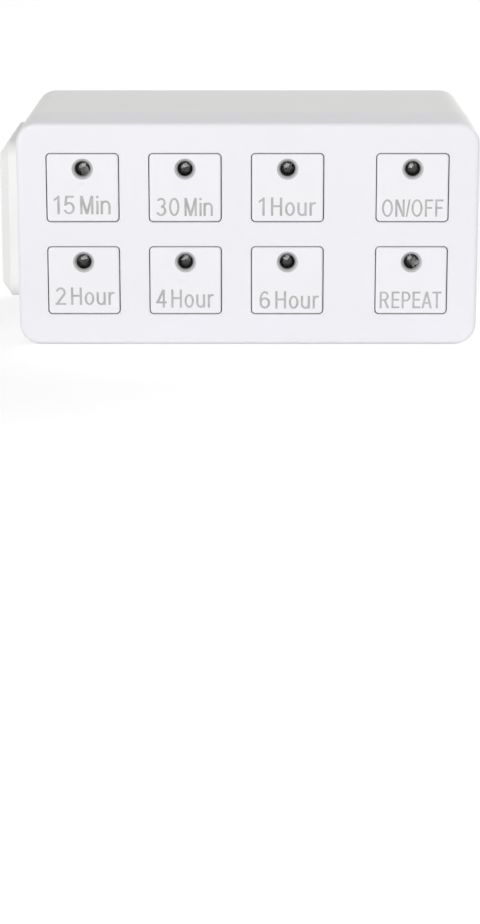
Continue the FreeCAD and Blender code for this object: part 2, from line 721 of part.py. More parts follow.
def switches():
    bodies, plates, legs = [], [], []
    half = "switch_size/2"
    plate_rear = f"({SWITCH_TOP} + switch_plate_wall)"
    well_floor = f"({SWITCH_TOP} + plunger_depth + key_travel + plunger_gap)"
    for name, x, key_z in keys():
        z = f"({key_z} - stem_drop)"
        block = box(f"switch_block_{name}", around(x, half), (plate_rear, BOARD_FRONT), around(z, half))
        well = cylinder(f"switch_well_{name}", "y", (x, plate_rear, z), "plunger_radius + plunger_gap",
                        f"{well_floor} - {plate_rear}")
        bodies.append(cut(f"switch_body_{name}", block, [well]))
        plate = box(f"switch_lid_{name}", around(x, half), (SWITCH_TOP, plate_rear), around(z, half))
        hole = cylinder(f"switch_lid_hole_{name}", "y", (x, SWITCH_TOP, z),
                        "plunger_radius + plunger_gap", "switch_plate_wall")
        plates.append(cut(f"switch_plate_{name}", plate, [hole]))
        for side, edge in (("left", f"({x} - {half} - leg_wall)"), ("right", f"({x} + {half})")):
            for level, rise in (("upper", f"({z} + {half} - leg_width)"),
                                ("lower", f"({z} - {half} + leg_width)")):
                legs.append(box(f"switch_leg_{side}_{level}_{name}", (edge, f"({edge} + leg_wall)"),
                                (f"({SWITCH_TOP} + switch_height/2)", f"({BOARD_REAR} + leg_reach)"),
                                around(rise, "leg_width/2")))
    keep(group("switch_bodies", bodies), "switch_bodies")
    keep(group("switch_plates", plates), "switch_plates")
    keep(group("switch_legs", legs), "switch_legs")


def lamps():
    lenses, spacers, leads = [], [], []
    for name, x, key_z in keys():
        z = f"({key_z} + lamp_rise)"
        lenses.append(turned(f"lamp_{name}", x, z,
                             [(f"({LAMP_TIP} + lamp_radius)", LAMP_BASE, "lamp_radius"),
                              (f"({LAMP_BASE} - lamp_flange_wall)", LAMP_BASE, "lamp_flange_radius")],
                             [(f"({LAMP_TIP} + lamp_radius)", "lamp_radius")]))
        sleeve = cylinder(f"lamp_sleeve_{name}", "y", (x, LAMP_BASE, z), "lamp_flange_radius",
                          f"{BOARD_FRONT} - {LAMP_BASE}")
        bores = []
        for side, sign in (("left", "-"), ("right", "+")):
            middle = f"({x} {sign} lead_pitch/2)"
            span = (LAMP_BASE, f"({BOARD_REAR} + leg_reach)")
            leads.append(box(f"lamp_lead_{side}_{name}", around(middle, "lead_width/2"), span,
                             around(z, "lead_width/2")))
            bores.append(box(f"lamp_bore_{side}_{name}", around(middle, "lead_width/2"), span,
                             around(z, "lead_width/2")))
        spacers.append(cut(f"lamp_spacer_{name}", sleeve, bores))
    keep(group("indicator_lamps", lenses), "indicator_lamps")
    keep(group("lamp_spacers", spacers), "lamp_spacers")
    keep(group("lamp_leads", leads), "lamp_leads")


# Control board, in the cover

def control_board():
    half_x, half_z = f"({CAVITY_X} - board_inset)", f"({CAVITY_Z} - board_inset)"
    layer = (BOARD_FRONT, BOARD_REAR)
    blank = box("control_blank", around("0", half_x), layer, around(CASE_MIDDLE, half_z))
    holes = [cylinder(f"control_screw_hole_{index}", "y", (x, BOARD_FRONT, z),
                      "screw_radius + screw_hole_gap", "board_wall")
             for index, (x, z) in enumerate(CASE_SCREWS + BOARD_SCREWS)]
    holes += [box(f"control_link_hole_{index}", around(LINK_ACROSS, "link_pin/2"), layer,
                  around(link_rise(index), "link_pin/2")) for index in range(LINK_PINS)]
    for name, x, key_z in keys():
        lamp_z = around(f"({key_z} + lamp_rise)", "lead_width/2")
        for side, sign in (("left", "-"), ("right", "+")):
            holes.append(box(f"control_lead_hole_{side}_{name}",
                             around(f"({x} {sign} lead_pitch/2)", "lead_width/2"), layer, lamp_z))
            leg_x = f"({x} {sign} (switch_size/2 + leg_wall/2))"
            for level, leg_sign in (("upper", "+"), ("lower", "-")):
                leg_z = f"({key_z} - stem_drop {leg_sign} (switch_size/2 - leg_width))"
                holes.append(box(f"control_leg_hole_{side}_{level}_{name}", around(leg_x, "leg_wall/2"), layer,
                                 around(leg_z, "leg_width/2")))
    keep(cut("control_board", blank, holes), "control_board")


def control_parts():
    keep(group("board_screws", [screw(f"board_screw_{index}", x, z, BOARD_REAR, f"({BOARD_REAR} - {SCREW_TIP})")
                                for index, (x, z) in enumerate(BOARD_SCREWS)]), "board_screws")
    keep(box("microcontroller", around(between(1), "chip_size/2"),
             (BOARD_REAR, f"({BOARD_REAR} + chip_height)"), around(f"({ROWS_MIDDLE} + chip_rise)", "chip_size/2")),
         "microcontroller")
    keep(cylinder("crystal", "x", (f"({column(1)} - crystal_length/2)", f"({BOARD_REAR} + crystal_radius)",
                                   ROWS_MIDDLE), "crystal_radius", "crystal_length"), "crystal")
    chips = [box(f"chip_resistor_{name}", around(x, "resistor_length/2"),
                 (BOARD_REAR, f"({BOARD_REAR} + resistor_height)"),
                 around(f"({z} + lamp_rise - resistor_drop)", "resistor_width/2"))
             for name, x, z in keys()]
    keep(group("chip_resistors", chips), "chip_resistors")


# Power board, on the back wall

def power_board():
    body = new_body("power_board")
    blank = sketch(body, "power_outline", "front", POWER_FRONT)
    rectangle(blank, (POWER_LEFT, POWER_RIGHT), around(CASE_MIDDLE, f"({CAVITY_Z} - power_board_gap)"))
    pad(body, blank, "board_wall", True)
    holes = sketch(body, "power_holes", "front", POWER_FRONT)
    for x, z in CASE_SCREWS[1:]:
        circle(holes, x, z, "tunnel_radius + tunnel_gap")
    for x, z in STANDOFFS:
        circle(holes, x, z, "screw_radius + screw_hole_gap")
    for x in ("(-blade_spacing/2)", "(blade_spacing/2)"):
        rectangle(holes, around(x, "(blade_wall/2 + fit_gap)"), around("0", "(blade_tab/2 + fit_gap)"))
    for x in (LINE_BAR, NEUTRAL_BAR):
        rectangle(holes, around(x, "(bar_wall/2 + fit_gap)"), around(SLOT_RISE, "(tail_width/2 + fit_gap)"))
    for index in range(LINK_PINS):
        rectangle(holes, around(LINK_ACROSS, "link_pin/2"), around(link_rise(index), "link_pin/2"))
    pocket(body, holes, "board_wall + 1", True)


def on_power_board(height, lift="0"):
    return (f"({POWER_FRONT} - {lift} - {height})", f"({POWER_FRONT} - {lift})")


def power_parts():
    # The screws point back into the standoffs, so each is turned end for end
    screws = []
    for index, (x, z) in enumerate(STANDOFFS):
        blank = turned(f"power_screw_blank_{index}", x, z,
                       [(POWER_FRONT, f"({POWER_FRONT} + power_screw_length)", "screw_radius"),
                        (f"({POWER_FRONT} - screw_head_height)", POWER_FRONT, "screw_head_radius")])
        slot = box(f"power_screw_slot_{index}", around(x, "screw_head_radius"),
                   (f"({POWER_FRONT} - screw_head_height)", f"({POWER_FRONT} - screw_head_height/2)"),
                   around(z, "screw_slot/2"))
        screws.append(cut(f"power_screw_{index}", blank, [slot]))
    keep(group("power_board_screws", screws), "power_board_screws")

    relay_x = (RELAY_LEFT, f"({RELAY_LEFT} + relay_width)")
    relay_z = around(CASE_MIDDLE, f"({CAVITY_Z} - relay_end_gap)")
    relay_front = f"({BOARD_REAR} + relay_headroom)"
    keep(box("relay_base", relay_x, on_power_board("relay_base_height"), relay_z), "relay_base")
    keep(box("relay_case", relay_x, (relay_front, f"({POWER_FRONT} - relay_base_height)"), relay_z),
         "relay_case")
    film_left = f"({STANDOFFS[0][0]} + screw_head_radius + film_gap)"
    film_top = f"({CASE_MIDDLE} + {CAVITY_Z} - film_gap)"
    keep(box("film_capacitor", (film_left, f"({film_left} + film_length)"), on_power_board("film_height"),
             (f"({film_top} - film_width)", film_top)), "film_capacitor")
    keep(turned("smoothing_capacitor", f"({LINK_ACROSS} - link_block/2 - can_gap - can_radius)", "0",
                [(f"({POWER_FRONT} - can_height)", POWER_FRONT, "can_radius")]), "smoothing_capacitor")
    disc_x = f"({POWER_LEFT} + disc_inset)"
    disc = cylinder("varistor_disc", "x", (f"({disc_x} - disc_wall/2)",
                                           f"({POWER_FRONT} - disc_foot - disc_radius)", "-disc_drop"),
                    "disc_radius", "disc_wall")
    foot = box("varistor_foot", around(disc_x, "disc_wall/4"),
               on_power_board("(disc_foot + disc_radius)"), around("-disc_drop", "disc_radius/2"))
    keep(fuse("varistor", [disc, foot]), "varistor")
    last_diode = f"({between(2)} - tunnel_radius - tunnel_gap - diode_radius)"
    diodes = [cylinder(f"diode_{index}", "z", (f"({last_diode} - {index}*diode_pitch)",
                                               f"({POWER_FRONT} - diode_radius)",
                                               "(-diode_drop - diode_length/2)"),
                       "diode_radius", "diode_length") for index in range(DIODES)]
    keep(group("rectifier_diodes", diodes), "rectifier_diodes")
    keep(cylinder("fuse_resistor", "z", (f"({POWER_LEFT} + fuse_inset)", f"({POWER_FRONT} - fuse_radius)",
                                         "(-fuse_drop - fuse_length/2)"), "fuse_radius", "fuse_length"),
         "fuse_resistor")


def board_link():
    blocks, pins = [], []
    half_row = f"({LINK_PINS}*link_pitch/2)"
    for end, span in (("front", (BOARD_REAR, f"({BOARD_REAR} + link_block_height)")),
                      ("rear", on_power_board("link_block_height"))):
        block = box(f"link_block_{end}", around(LINK_ACROSS, "link_block/2"), span,
                    around(ROWS_MIDDLE, half_row))
        bores = [box(f"link_bore_{end}_{index}", around(LINK_ACROSS, "link_pin/2"), span,
                     around(link_rise(index), "link_pin/2")) for index in range(LINK_PINS)]
        blocks.append(cut(f"link_header_{end}", block, bores))
    for index in range(LINK_PINS):
        pins.append(box(f"link_pin_{index}", around(LINK_ACROSS, "link_pin/2"),
                        (f"({BOARD_FRONT} - link_overrun)", f"({POWER_REAR} + link_overrun)"),
                        around(link_rise(index), "link_pin/2")))
    keep(group("link_headers", blocks), "link_headers")
    keep(group("link_pins", pins), "link_pins")


# Plug

def plug_blade(label, x):
    """Outside the wall a flat blade, behind it a shoulder, and a tab through the power board."""
    body = new_body(label)
    side = sketch(body, label + "_side", "side", f"({x}) - blade_wall/2")
    half, shoulder, tab = "blade_width/2", "blade_shoulder/2", "blade_tab/2"
    tab_end = f"({POWER_FRONT} - blade_tab_rise)"
    upper = [(tab_end, tab), (POWER_REAR, tab), (POWER_REAR, shoulder), (BACK_INSIDE, shoulder),
             (BACK_INSIDE, half), ("blade_length - blade_tip", half), ("blade_length", f"{half} - blade_tip")]
    lower = [(y, f"-({z})") for y, z in reversed(upper)]
    outline(side, lower + upper)
    circle(side, "blade_length - blade_hole_setback", "0", "blade_hole_radius")
    pad(body, side, "blade_wall", True)


def ground_pin():
    keep(turned("ground_pin", "0", "-ground_drop",
                [(STRAP_TOP, GROUND_FLANGE_TOP, "rivet_radius"),
                 (f"({STRAP_TOP} - rivet_head_wall)", STRAP_TOP, "rivet_head_radius"),
                 (GROUND_FLANGE_TOP, BACK_INSIDE, "ground_flange_radius"),
                 (BACK_INSIDE, "0", "ground_neck_radius"),
                 ("0", "(ground_length - ground_radius)", "ground_radius")],
                [("(ground_length - ground_radius)", "ground_radius")]), "ground_pin")


# Outlet

def contact_carrier():
    nose = box("carrier_nose", (f"({OUTLET_FLOOR} + fit_gap)", OUTLET_FLANGE_REAR),
               around(OUTLET_MIDDLE, f"({HOLLOW_HALF_DEPTH} - fit_gap)"),
               around(CASE_MIDDLE, f"({HOLLOW_HALF_HEIGHT} - fit_gap)"))
    base = box("carrier_base", (OUTLET_FLANGE_REAR, CARRIER_RIGHT), (CARRIER_FRONT, BACK_INSIDE),
               around(CASE_MIDDLE, f"({OUTLET_HEIGHT}/2 + outlet_flange - carrier_inset)"))
    tools = []
    for name, y in (("line", LINE_SLOT), ("neutral", NEUTRAL_SLOT)):
        tools.append(box(f"carrier_cell_{name}", (OUTLET_FLOOR, CELL_END), around(y, "cell_half_width"),
                         around(SLOT_RISE, "cell_half_height")))
        tools.append(box(f"carrier_tail_slot_{name}", (CELL_END, f"({CARRIER_RIGHT} + 1)"),
                         around(y, "bar_wall/2"), around(SLOT_RISE, "tail_width/2")))
    tools.append(cylinder("carrier_cell_ground", "x", (OUTLET_FLOOR, OUTLET_MIDDLE, GROUND_HOLE),
                          "ground_cell_radius", f"{CELL_END} - {OUTLET_FLOOR}"))
    tools.append(box("carrier_tail_slot_ground", (CELL_END, f"({CARRIER_RIGHT} + 1)"),
                     around(OUTLET_MIDDLE, "bar_wall/2"),
                     (f"({GROUND_HOLE} - tail_width)", GROUND_HOLE)))
    keep(cut("contact_carrier", fuse("carrier_block", [nose, base]), tools), "contact_carrier")


def blade_contact(label, y):
    """A sprung fork for one blade, with a tail through the end of its cell."""
    fork = box(label + "_fork", (CONTACT_LEFT, CELL_END), around(y, "(contact_gap/2 + contact_sheet)"),
               around(SLOT_RISE, "contact_height/2"))
    gap = box(label + "_mouth", (CONTACT_LEFT, f"({CELL_END} - bar_wall)"), around(y, "contact_gap/2"),
              around(SLOT_RISE, "contact_height/2"))
    tail = box(label + "_tail", (f"({CELL_END} - bar_wall)", STRAP_LEFT),
               around(y, "bar_wall/2"), around(SLOT_RISE, "tail_width/2"))
    keep(fuse(label, [cut(label + "_leaves", fork, [gap]), tail]), label)


def ground_contact():
    start = (CONTACT_LEFT, OUTLET_MIDDLE, GROUND_HOLE)
    sleeve = cylinder("ground_contact_sleeve", "x", start, "ground_contact_radius + contact_sheet",
                      f"{CELL_END} - {CONTACT_LEFT}")
    bore = cylinder("ground_contact_bore", "x", start, "ground_contact_radius",
                    f"{CELL_END} - bar_wall - {CONTACT_LEFT}")
    slit = box("ground_contact_slit_cut", (CONTACT_LEFT, f"({CELL_END} - bar_wall)"),
               around(OUTLET_MIDDLE, "ground_contact_slit/2"),
               (GROUND_HOLE, f"({GROUND_HOLE} + ground_contact_radius + 2*contact_sheet)"))
    tail = box("ground_contact_tail", (CELL_END, f"({STRAP_LEFT} - bar_wall)"),
               around(OUTLET_MIDDLE, "bar_wall/2"), (f"({GROUND_HOLE} - tail_width)", GROUND_HOLE))
    spring = cut("ground_contact_spring", sleeve, [bore, slit])
    keep(fuse("ground_contact", [spring, tail]), "ground_contact")


def contact_bar(label, slot, end):
    """A flat bar from a contact's tail along the case and down through the power board."""
    body = new_body(label)
    side = sketch(body, label + "_side", "top", f"{SLOT_RISE} - tail_width/2")
    near = f"({slot} - bar_wall/2 - bar_wall)"
    far = f"({slot} - bar_wall/2)"
    left, right = f"({end} - bar_wall/2)", f"({end} + bar_wall/2)"
    foot = f"({POWER_REAR} + link_overrun)"
    start = f"({CARRIER_RIGHT} + fit_gap)"
    outline(side, [(start, near), (right, near), (right, foot), (left, foot), (left, far), (start, far)])
    pad(body, side, "tail_width", True)


def ground_strap():
    """A flat strap from the riveted ground pin, bent forward to the outlet's ground contact."""
    body = new_body("ground_strap")
    side = sketch(body, "ground_strap_side", "top", "-ground_drop - strap_width/2")
    left, bend = f"({STRAP_LEFT} - bar_wall)", STRAP_LEFT
    tip = f"({OUTLET_MIDDLE} - strap_width/2)"
    outline(side, [("strap_overrun", GROUND_FLANGE_TOP), ("strap_overrun", STRAP_TOP), (bend, STRAP_TOP),
                   (bend, tip), (left, tip), (left, GROUND_FLANGE_TOP)])
    pad(body, side, "strap_width", True)
    hole = sketch(body, "ground_strap_hole", "front", STRAP_TOP)
    circle(hole, "0", "-ground_drop", "rivet_radius")
    pocket(body, hole, "bar_wall + 1", True)


def case_screws():
    keep(group("case_screws", [screw(f"case_screw_{index}", x, z, CASE_SEAT, f"({CASE_SEAT} - {SCREW_TIP})")
                               for index, (x, z) in enumerate(CASE_SCREWS)]), "case_screws")


# The whole switch

front_cover()
rear_housing()
outlet_plate()
for key_name, key_x, key_z in keys():
    key_cap(key_name, key_x, key_z)
    plunger(key_name, key_x, key_z)
switches()
lamps()
control_board()
control_parts()
power_board()
power_parts()
board_link()
plug_blade("neutral_blade", "-blade_spacing/2")
plug_blade("line_blade", "blade_spacing/2")
ground_pin()
contact_carrier()
blade_contact("line_contact", LINE_SLOT)
blade_contact("neutral_contact", NEUTRAL_SLOT)
ground_contact()
contact_bar("line_bar", LINE_SLOT, LINE_BAR)
contact_bar("neutral_bar", NEUTRAL_SLOT, NEUTRAL_BAR)
ground_strap()
case_screws()
doc.recompute()

for item in doc.Objects:
    if {"Invalid", "Error"} & set(item.State):
        raise RuntimeError(f"{item.Label} failed: {item.State}")
for item in sub_parts:
    if item.Shape.isNull() or not item.Shape.isValid() or not item.Shape.Solids:
        raise RuntimeError(f"{item.Label} has no valid solid")

os.makedirs("parts", exist_ok=True)
for item in sub_parts:
    item.Shape.exportStep(f"parts/{item.Label}.step")
    print(f"{item.Label}: {len(item.Shape.Solids)} solids, {item.Shape.Volume:.1f} mm3")
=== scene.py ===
"""A plug-in timer switch with eight keys: its finishes, printed key words, lamps, studio and camera.

Lengths are in metres in the object's own frame: the wall face is at y = 0, the front faces -y and z is up.
"""
import math
from collections import namedtuple

import bmesh
import bpy
from mathutils import Matrix, Vector
from mathutils.geometry import delaunay_2d_cdt


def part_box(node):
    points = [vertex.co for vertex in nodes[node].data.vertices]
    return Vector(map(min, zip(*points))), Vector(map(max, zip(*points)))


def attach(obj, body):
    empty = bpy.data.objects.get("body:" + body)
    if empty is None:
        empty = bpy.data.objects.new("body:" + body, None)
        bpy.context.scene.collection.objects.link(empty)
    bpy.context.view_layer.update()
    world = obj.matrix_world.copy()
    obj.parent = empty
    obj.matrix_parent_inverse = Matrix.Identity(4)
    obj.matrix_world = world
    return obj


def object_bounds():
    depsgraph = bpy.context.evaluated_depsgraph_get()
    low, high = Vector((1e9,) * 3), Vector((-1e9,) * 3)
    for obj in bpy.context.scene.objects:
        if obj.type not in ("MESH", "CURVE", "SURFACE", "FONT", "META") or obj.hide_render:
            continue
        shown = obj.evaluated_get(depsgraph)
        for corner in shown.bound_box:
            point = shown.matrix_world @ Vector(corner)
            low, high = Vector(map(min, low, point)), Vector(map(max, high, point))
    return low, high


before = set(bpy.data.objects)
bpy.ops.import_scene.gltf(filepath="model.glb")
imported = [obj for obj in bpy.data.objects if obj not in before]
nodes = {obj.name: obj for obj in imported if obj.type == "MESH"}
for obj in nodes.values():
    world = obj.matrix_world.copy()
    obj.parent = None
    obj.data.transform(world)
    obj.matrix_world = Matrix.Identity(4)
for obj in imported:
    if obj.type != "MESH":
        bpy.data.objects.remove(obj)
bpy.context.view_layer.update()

MM = 0.001

# What the frame gives: the case, the keys, the lamps and the plug
KEYS = ("15_min", "30_min", "1_hour", "on_off", "2_hour", "4_hour", "6_hour", "repeat")
CASE_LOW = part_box("front_cover")[0]
HOUSING_LOW, CASE_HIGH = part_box("rear_housing")
PAD_LOW, PAD_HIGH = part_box("outlet_plate")
CASE_MIDDLE = Vector((0.0, (CASE_LOW.y + CASE_HIGH.y) / 2, 0.0))
LAMP_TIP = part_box("indicator_lamps")[0].y
PIN_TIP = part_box("ground_pin")[1].y
KEY_MIDDLES = {key: sum(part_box(f"key_{key}"), Vector()) / 2 for key in KEYS}
KEY_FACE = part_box("key_15_min")[0].y
COLUMNS = sorted({round(middle.x, 6) for middle in KEY_MIDDLES.values()})
ROWS = sorted({round(middle.z, 6) for middle in KEY_MIDDLES.values()})

# Keys and their windows, and the sloped ring round each lamp, from its outer radius in to its window
CAP_HALF_WIDTH = 5.4 * MM
CAP_HALF_HEIGHT = 5.2 * MM
WINDOW_GAP = 0.15 * MM
LAMP_RING = 1.6 * MM
LAMP_WINDOW = 1.15 * MM
LAMP_RISE = 2.9 * MM

# Printed letters, in heights of a capital: upright and level strokes, small letters, and between words
STEM = 0.118
BAR = 0.108
SLANT_WIDTH = 1.15 * STEM
LOW_LETTER = 0.73
WORD_SPACE = 0.12
ARC_STEP = math.radians(9)
INK_THICKNESS = 0.012 * MM

# How strokes are merged: only what lies inside them is kept, and corners this close become one
INSIDE_ONLY = 1
CORNER_MERGE = 1e-5
STRAIGHT = math.radians(1)

# Lamps: a clear dome with a cup, a chip, a post and a wire set in it
CUP_BEHIND_TIP = 2.15 * MM
CUP_RIM = 0.62 * MM
CUP_FLOOR = 0.36 * MM
CUP_DEPTH = 0.34 * MM
CUP_WALL = 0.09 * MM
ANVIL_WIDTH = 0.95 * MM
POST_WIDTH = 0.42 * MM
FRAME_THICKNESS = 0.44 * MM
FRAME_LENGTH = 2.5 * MM
POST_ACROSS = 1.02 * MM
CHIP_SIDE = 0.3 * MM
WIRE_RADIUS = 0.022 * MM
WIRE_RISE = 0.3 * MM
ROUND_SIDES = 40
WIRE_SIDES = 8
WIRE_STEPS = 10
TURN_SEED = 7

# Camera, fitted to the measured corners of the front face and of the top
CAMERA_DISTANCE = 0.3412
CAMERA_ELEVATION = math.radians(11.8)
CAMERA_LENS = 83.1
CAMERA_SENSOR = 36.0
CAMERA_SHIFT = (-0.00856, -0.2712)
CAMERA_NEAR = 0.01

# Floor: how far below the object, its side, where it melts away, and how much whiter it looks than it is lit
FLOOR_DROP = 0.02 * MM
FLOOR_SIDE = 4.0
FLOOR_FADE = (0.6, 1.7)
FLOOR_LIFT = 0.37

# Light: the even part of it, and square soft lamps, with angles in degrees from the front and from level
AIR_STRENGTH = 0.38
Softbox = namedtuple("Softbox", "name azimuth elevation distance side share")
SOFTBOXES = (
    Softbox("Left front softbox", -26.0, 14.0, 1.2, 0.7, 0.56),
    Softbox("Right front fill", 58.0, 12.0, 1.3, 0.8, 0.16),
    Softbox("Rear softbox", 128.0, 24.0, 1.3, 0.6, 0.36),
)

WHITE = (1.0, 1.0, 1.0, 1.0)

# A Mix node's sockets for each kind of value: first, second and result
MIX_SOCKETS = {"FLOAT": (2, 3, 0), "RGBA": (6, 7, 2)}

# Each key's words, their width, a capital's height, and their foot's place below and beside the key's middle
Print = namedtuple("Print", "words width capital drop across")
PRINTS = {
    "15_min": Print("15 Min", 8.62 * MM, 2.86 * MM, 4.05 * MM, -0.10 * MM),
    "30_min": Print("30 Min", 8.58 * MM, 2.81 * MM, 4.33 * MM, -0.10 * MM),
    "1_hour": Print("1 Hour", 8.70 * MM, 2.87 * MM, 4.33 * MM, 0.0),
    "on_off": Print("ON/OFF", 9.30 * MM, 2.72 * MM, 4.46 * MM, 0.05 * MM),
    "2_hour": Print("2 Hour", 9.10 * MM, 2.78 * MM, 3.85 * MM, 0.14 * MM),
    "4_hour": Print("4 Hour", 8.86 * MM, 2.87 * MM, 4.27 * MM, -0.10 * MM),
    "6_hour": Print("6 Hour", 9.13 * MM, 2.78 * MM, 4.43 * MM, 0.33 * MM),
    "repeat": Print("REPEAT", 9.42 * MM, 2.61 * MM, 4.34 * MM, -0.05 * MM),
}


# Node tools, for materials, effects and geometry alike
def feed(tree, socket, value):
    """Gives a socket a constant, or a wire from another socket."""
    if isinstance(value, bpy.types.NodeSocket):
        tree.links.new(value, socket)
    else:
        socket.default_value = value


def add(tree, kind, settings=None, inputs=None):
    """A new node with its settings and its inputs, by name or by number."""
    node = tree.nodes.new(kind)
    for name, value in (settings or {}).items():
        setattr(node, name, value)
    for name, value in (inputs or {}).items():
        feed(tree, node.inputs[name], value)
    return node


def calc(tree, operation, *values):
    """The result of one arithmetic step."""
    node = add(tree, "ShaderNodeMath", {"operation": operation}, dict(enumerate(values)))
    return node.outputs[0]


def mix(tree, mask, first, second, kind="RGBA"):
    """From the first value to the second as the mask goes from 0 to 1."""
    a, b, result = MIX_SOCKETS[kind]
    return add(tree, "ShaderNodeMix", {"data_type": kind}, {0: mask, a: first, b: second}).outputs[result]


def fade(tree, value, start, end, at_start=0.0, at_end=1.0):
    """A smooth step between two values."""
    inputs = {"Value": value, "From Min": start, "From Max": end, "To Min": at_start, "To Max": at_end}
    return add(tree, "ShaderNodeMapRange", {"interpolation_type": "SMOOTHSTEP"}, inputs).outputs[0]


def noise(tree, place, size, detail=2.0):
    """Soft random values round 0.5, with features about as large as size."""
    scale = calc(tree, "DIVIDE", 1.0, size)
    inputs = {"Vector": place, "Scale": scale, "Detail": detail}
    return add(tree, "ShaderNodeTexNoise", inputs=inputs).outputs[0]


def stretched(tree, place, factors):
    """The place drawn out along some axes, for marks that run one way."""
    inputs = {0: place, 1: factors}
    return add(tree, "ShaderNodeVectorMath", {"operation": "MULTIPLY"}, inputs).outputs[0]


def parts_of(tree, place):
    """The x, y and z of a place."""
    return add(tree, "ShaderNodeSeparateXYZ", inputs={0: place}).outputs


def away_from(tree, value, centre):
    """The plain distance between two numbers."""
    return calc(tree, "ABSOLUTE", calc(tree, "SUBTRACT", value, centre))


def nearest_of(tree, value, centres):
    """The distance to the nearest of several numbers."""
    nearest = away_from(tree, value, centres[0])
    for centre in centres[1:]:
        nearest = calc(tree, "MINIMUM", nearest, away_from(tree, value, centre))
    return nearest


def object_place(tree):
    """The place on a piece, in metres in the object's own frame."""
    return add(tree, "ShaderNodeTexCoord").outputs["Object"]


def bumped(tree, height, depth, strength):
    """A surface normal with this relief, depth metres from its low to its high places."""
    inputs = {"Height": height, "Distance": depth, "Strength": strength}
    return add(tree, "ShaderNodeBump", inputs=inputs).outputs[0]


def socket_kind(default):
    """Vectors have no default here, colours four numbers and plain values one."""
    if default is None:
        return "NodeSocketVector"
    return "NodeSocketColor" if isinstance(default, tuple) else "NodeSocketFloat"


def effect(name, inputs, outputs):
    """A shader group with these named sockets, as its tree, what goes in and what comes out."""
    tree = bpy.data.node_groups.new(name, "ShaderNodeTree")
    for side, sockets in (("INPUT", inputs), ("OUTPUT", outputs)):
        for label, default in sockets.items():
            made = tree.interface.new_socket(label, in_out=side, socket_type=socket_kind(default))
            if default is not None:
                made.default_value = default
    given = tree.nodes.new("NodeGroupInput").outputs
    return tree, given, tree.nodes.new("NodeGroupOutput").inputs


def use(tree, group, **inputs):
    """One effect placed in a material: an input's name has underscores for its spaces."""
    node = add(tree, "ShaderNodeGroup", {"node_tree": group})
    for name, value in inputs.items():
        feed(tree, node.inputs[name.replace("_", " ").title()], value)
    return node.outputs


def finish_of(name, **constants):
    """A new material, its tree and its shader, with the shader's constant numbers set."""
    material = bpy.data.materials.new(name)
    material.use_nodes = True
    tree = material.node_tree
    shader = tree.nodes["Principled BSDF"]
    for label, value in constants.items():
        shader.inputs[label.replace("_", " ")].default_value = value
    return material, tree, shader


def wire(tree, shader, **inputs):
    """Connects what changes over the surface to the shader."""
    for label, value in inputs.items():
        feed(tree, shader.inputs[label.replace("_", " ")], value)


# Shared effects
def moulded_skin():
    """Plastic or lacquer from a mould: faint clouds of colour, uneven gloss and a fine eroded grain."""
    inputs = {
        "Place": None, "Colour": WHITE, "Cloud Colour": WHITE, "Cloud Size": 8 * MM, "Cloud Depth": 0.5,
        "Grain Size": 0.2 * MM, "Roughness": 0.4, "Spread": 0.1,
    }
    tree, given, made = effect("Moulded skin", inputs, {"Colour": WHITE, "Roughness": 0.4, "Height": 0.5})
    clouds = fade(tree, noise(tree, given["Place"], given["Cloud Size"], 3.0), 0.3, 0.7)
    depth = calc(tree, "MULTIPLY", clouds, given["Cloud Depth"])
    feed(tree, made["Colour"], mix(tree, depth, given["Colour"], given["Cloud Colour"]))
    grain = noise(tree, given["Place"], given["Grain Size"], 2.0)
    pits = add(tree, "ShaderNodeTexVoronoi", {"feature": "SMOOTH_F1"}, {
        "Vector": given["Place"], "Scale": calc(tree, "DIVIDE", 0.7, given["Grain Size"]),
    }).outputs["Distance"]
    feed(tree, made["Height"], mix(tree, 0.45, grain, pits, "FLOAT"))
    handled = noise(tree, given["Place"], calc(tree, "MULTIPLY", given["Cloud Size"], 0.35), 4.0)
    swing = calc(tree, "MULTIPLY", calc(tree, "SUBTRACT", handled, 0.5), given["Spread"])
    feed(tree, made["Roughness"], calc(tree, "ADD", given["Roughness"], swing))
    return tree


def rubbed_edges():
    """Where two faces of a box meet: 1 along its edges and uneven inwards, 0 elsewhere."""
    inputs = {"Place": None, "Middle": None, "Half": None, "Width": 1 * MM}
    tree, given, made = effect("Rubbed edges", inputs, {"Mask": 0.0})
    offset = add(tree, "ShaderNodeVectorMath", {"operation": "SUBTRACT"},
                 {0: given["Place"], 1: given["Middle"]}).outputs[0]
    reach = add(tree, "ShaderNodeVectorMath", {"operation": "ABSOLUTE"}, {0: offset}).outputs[0]
    inward = add(tree, "ShaderNodeVectorMath", {"operation": "SUBTRACT"},
                 {0: given["Half"], 1: reach}).outputs[0]
    near = [fade(tree, side, 0.0, given["Width"], 1.0, 0.0) for side in parts_of(tree, inward)]
    pairs = [calc(tree, "MULTIPLY", near[i], near[(i + 1) % 3]) for i in range(3)]
    edge = calc(tree, "MAXIMUM", calc(tree, "MAXIMUM", pairs[0], pairs[1]), pairs[2])
    uneven = fade(tree, noise(tree, given["Place"], calc(tree, "MULTIPLY", given["Width"], 2.5), 4.0),
                  0.35, 0.65, 0.25, 1.0)
    feed(tree, made["Mask"], calc(tree, "MULTIPLY", edge, uneven))
    return tree


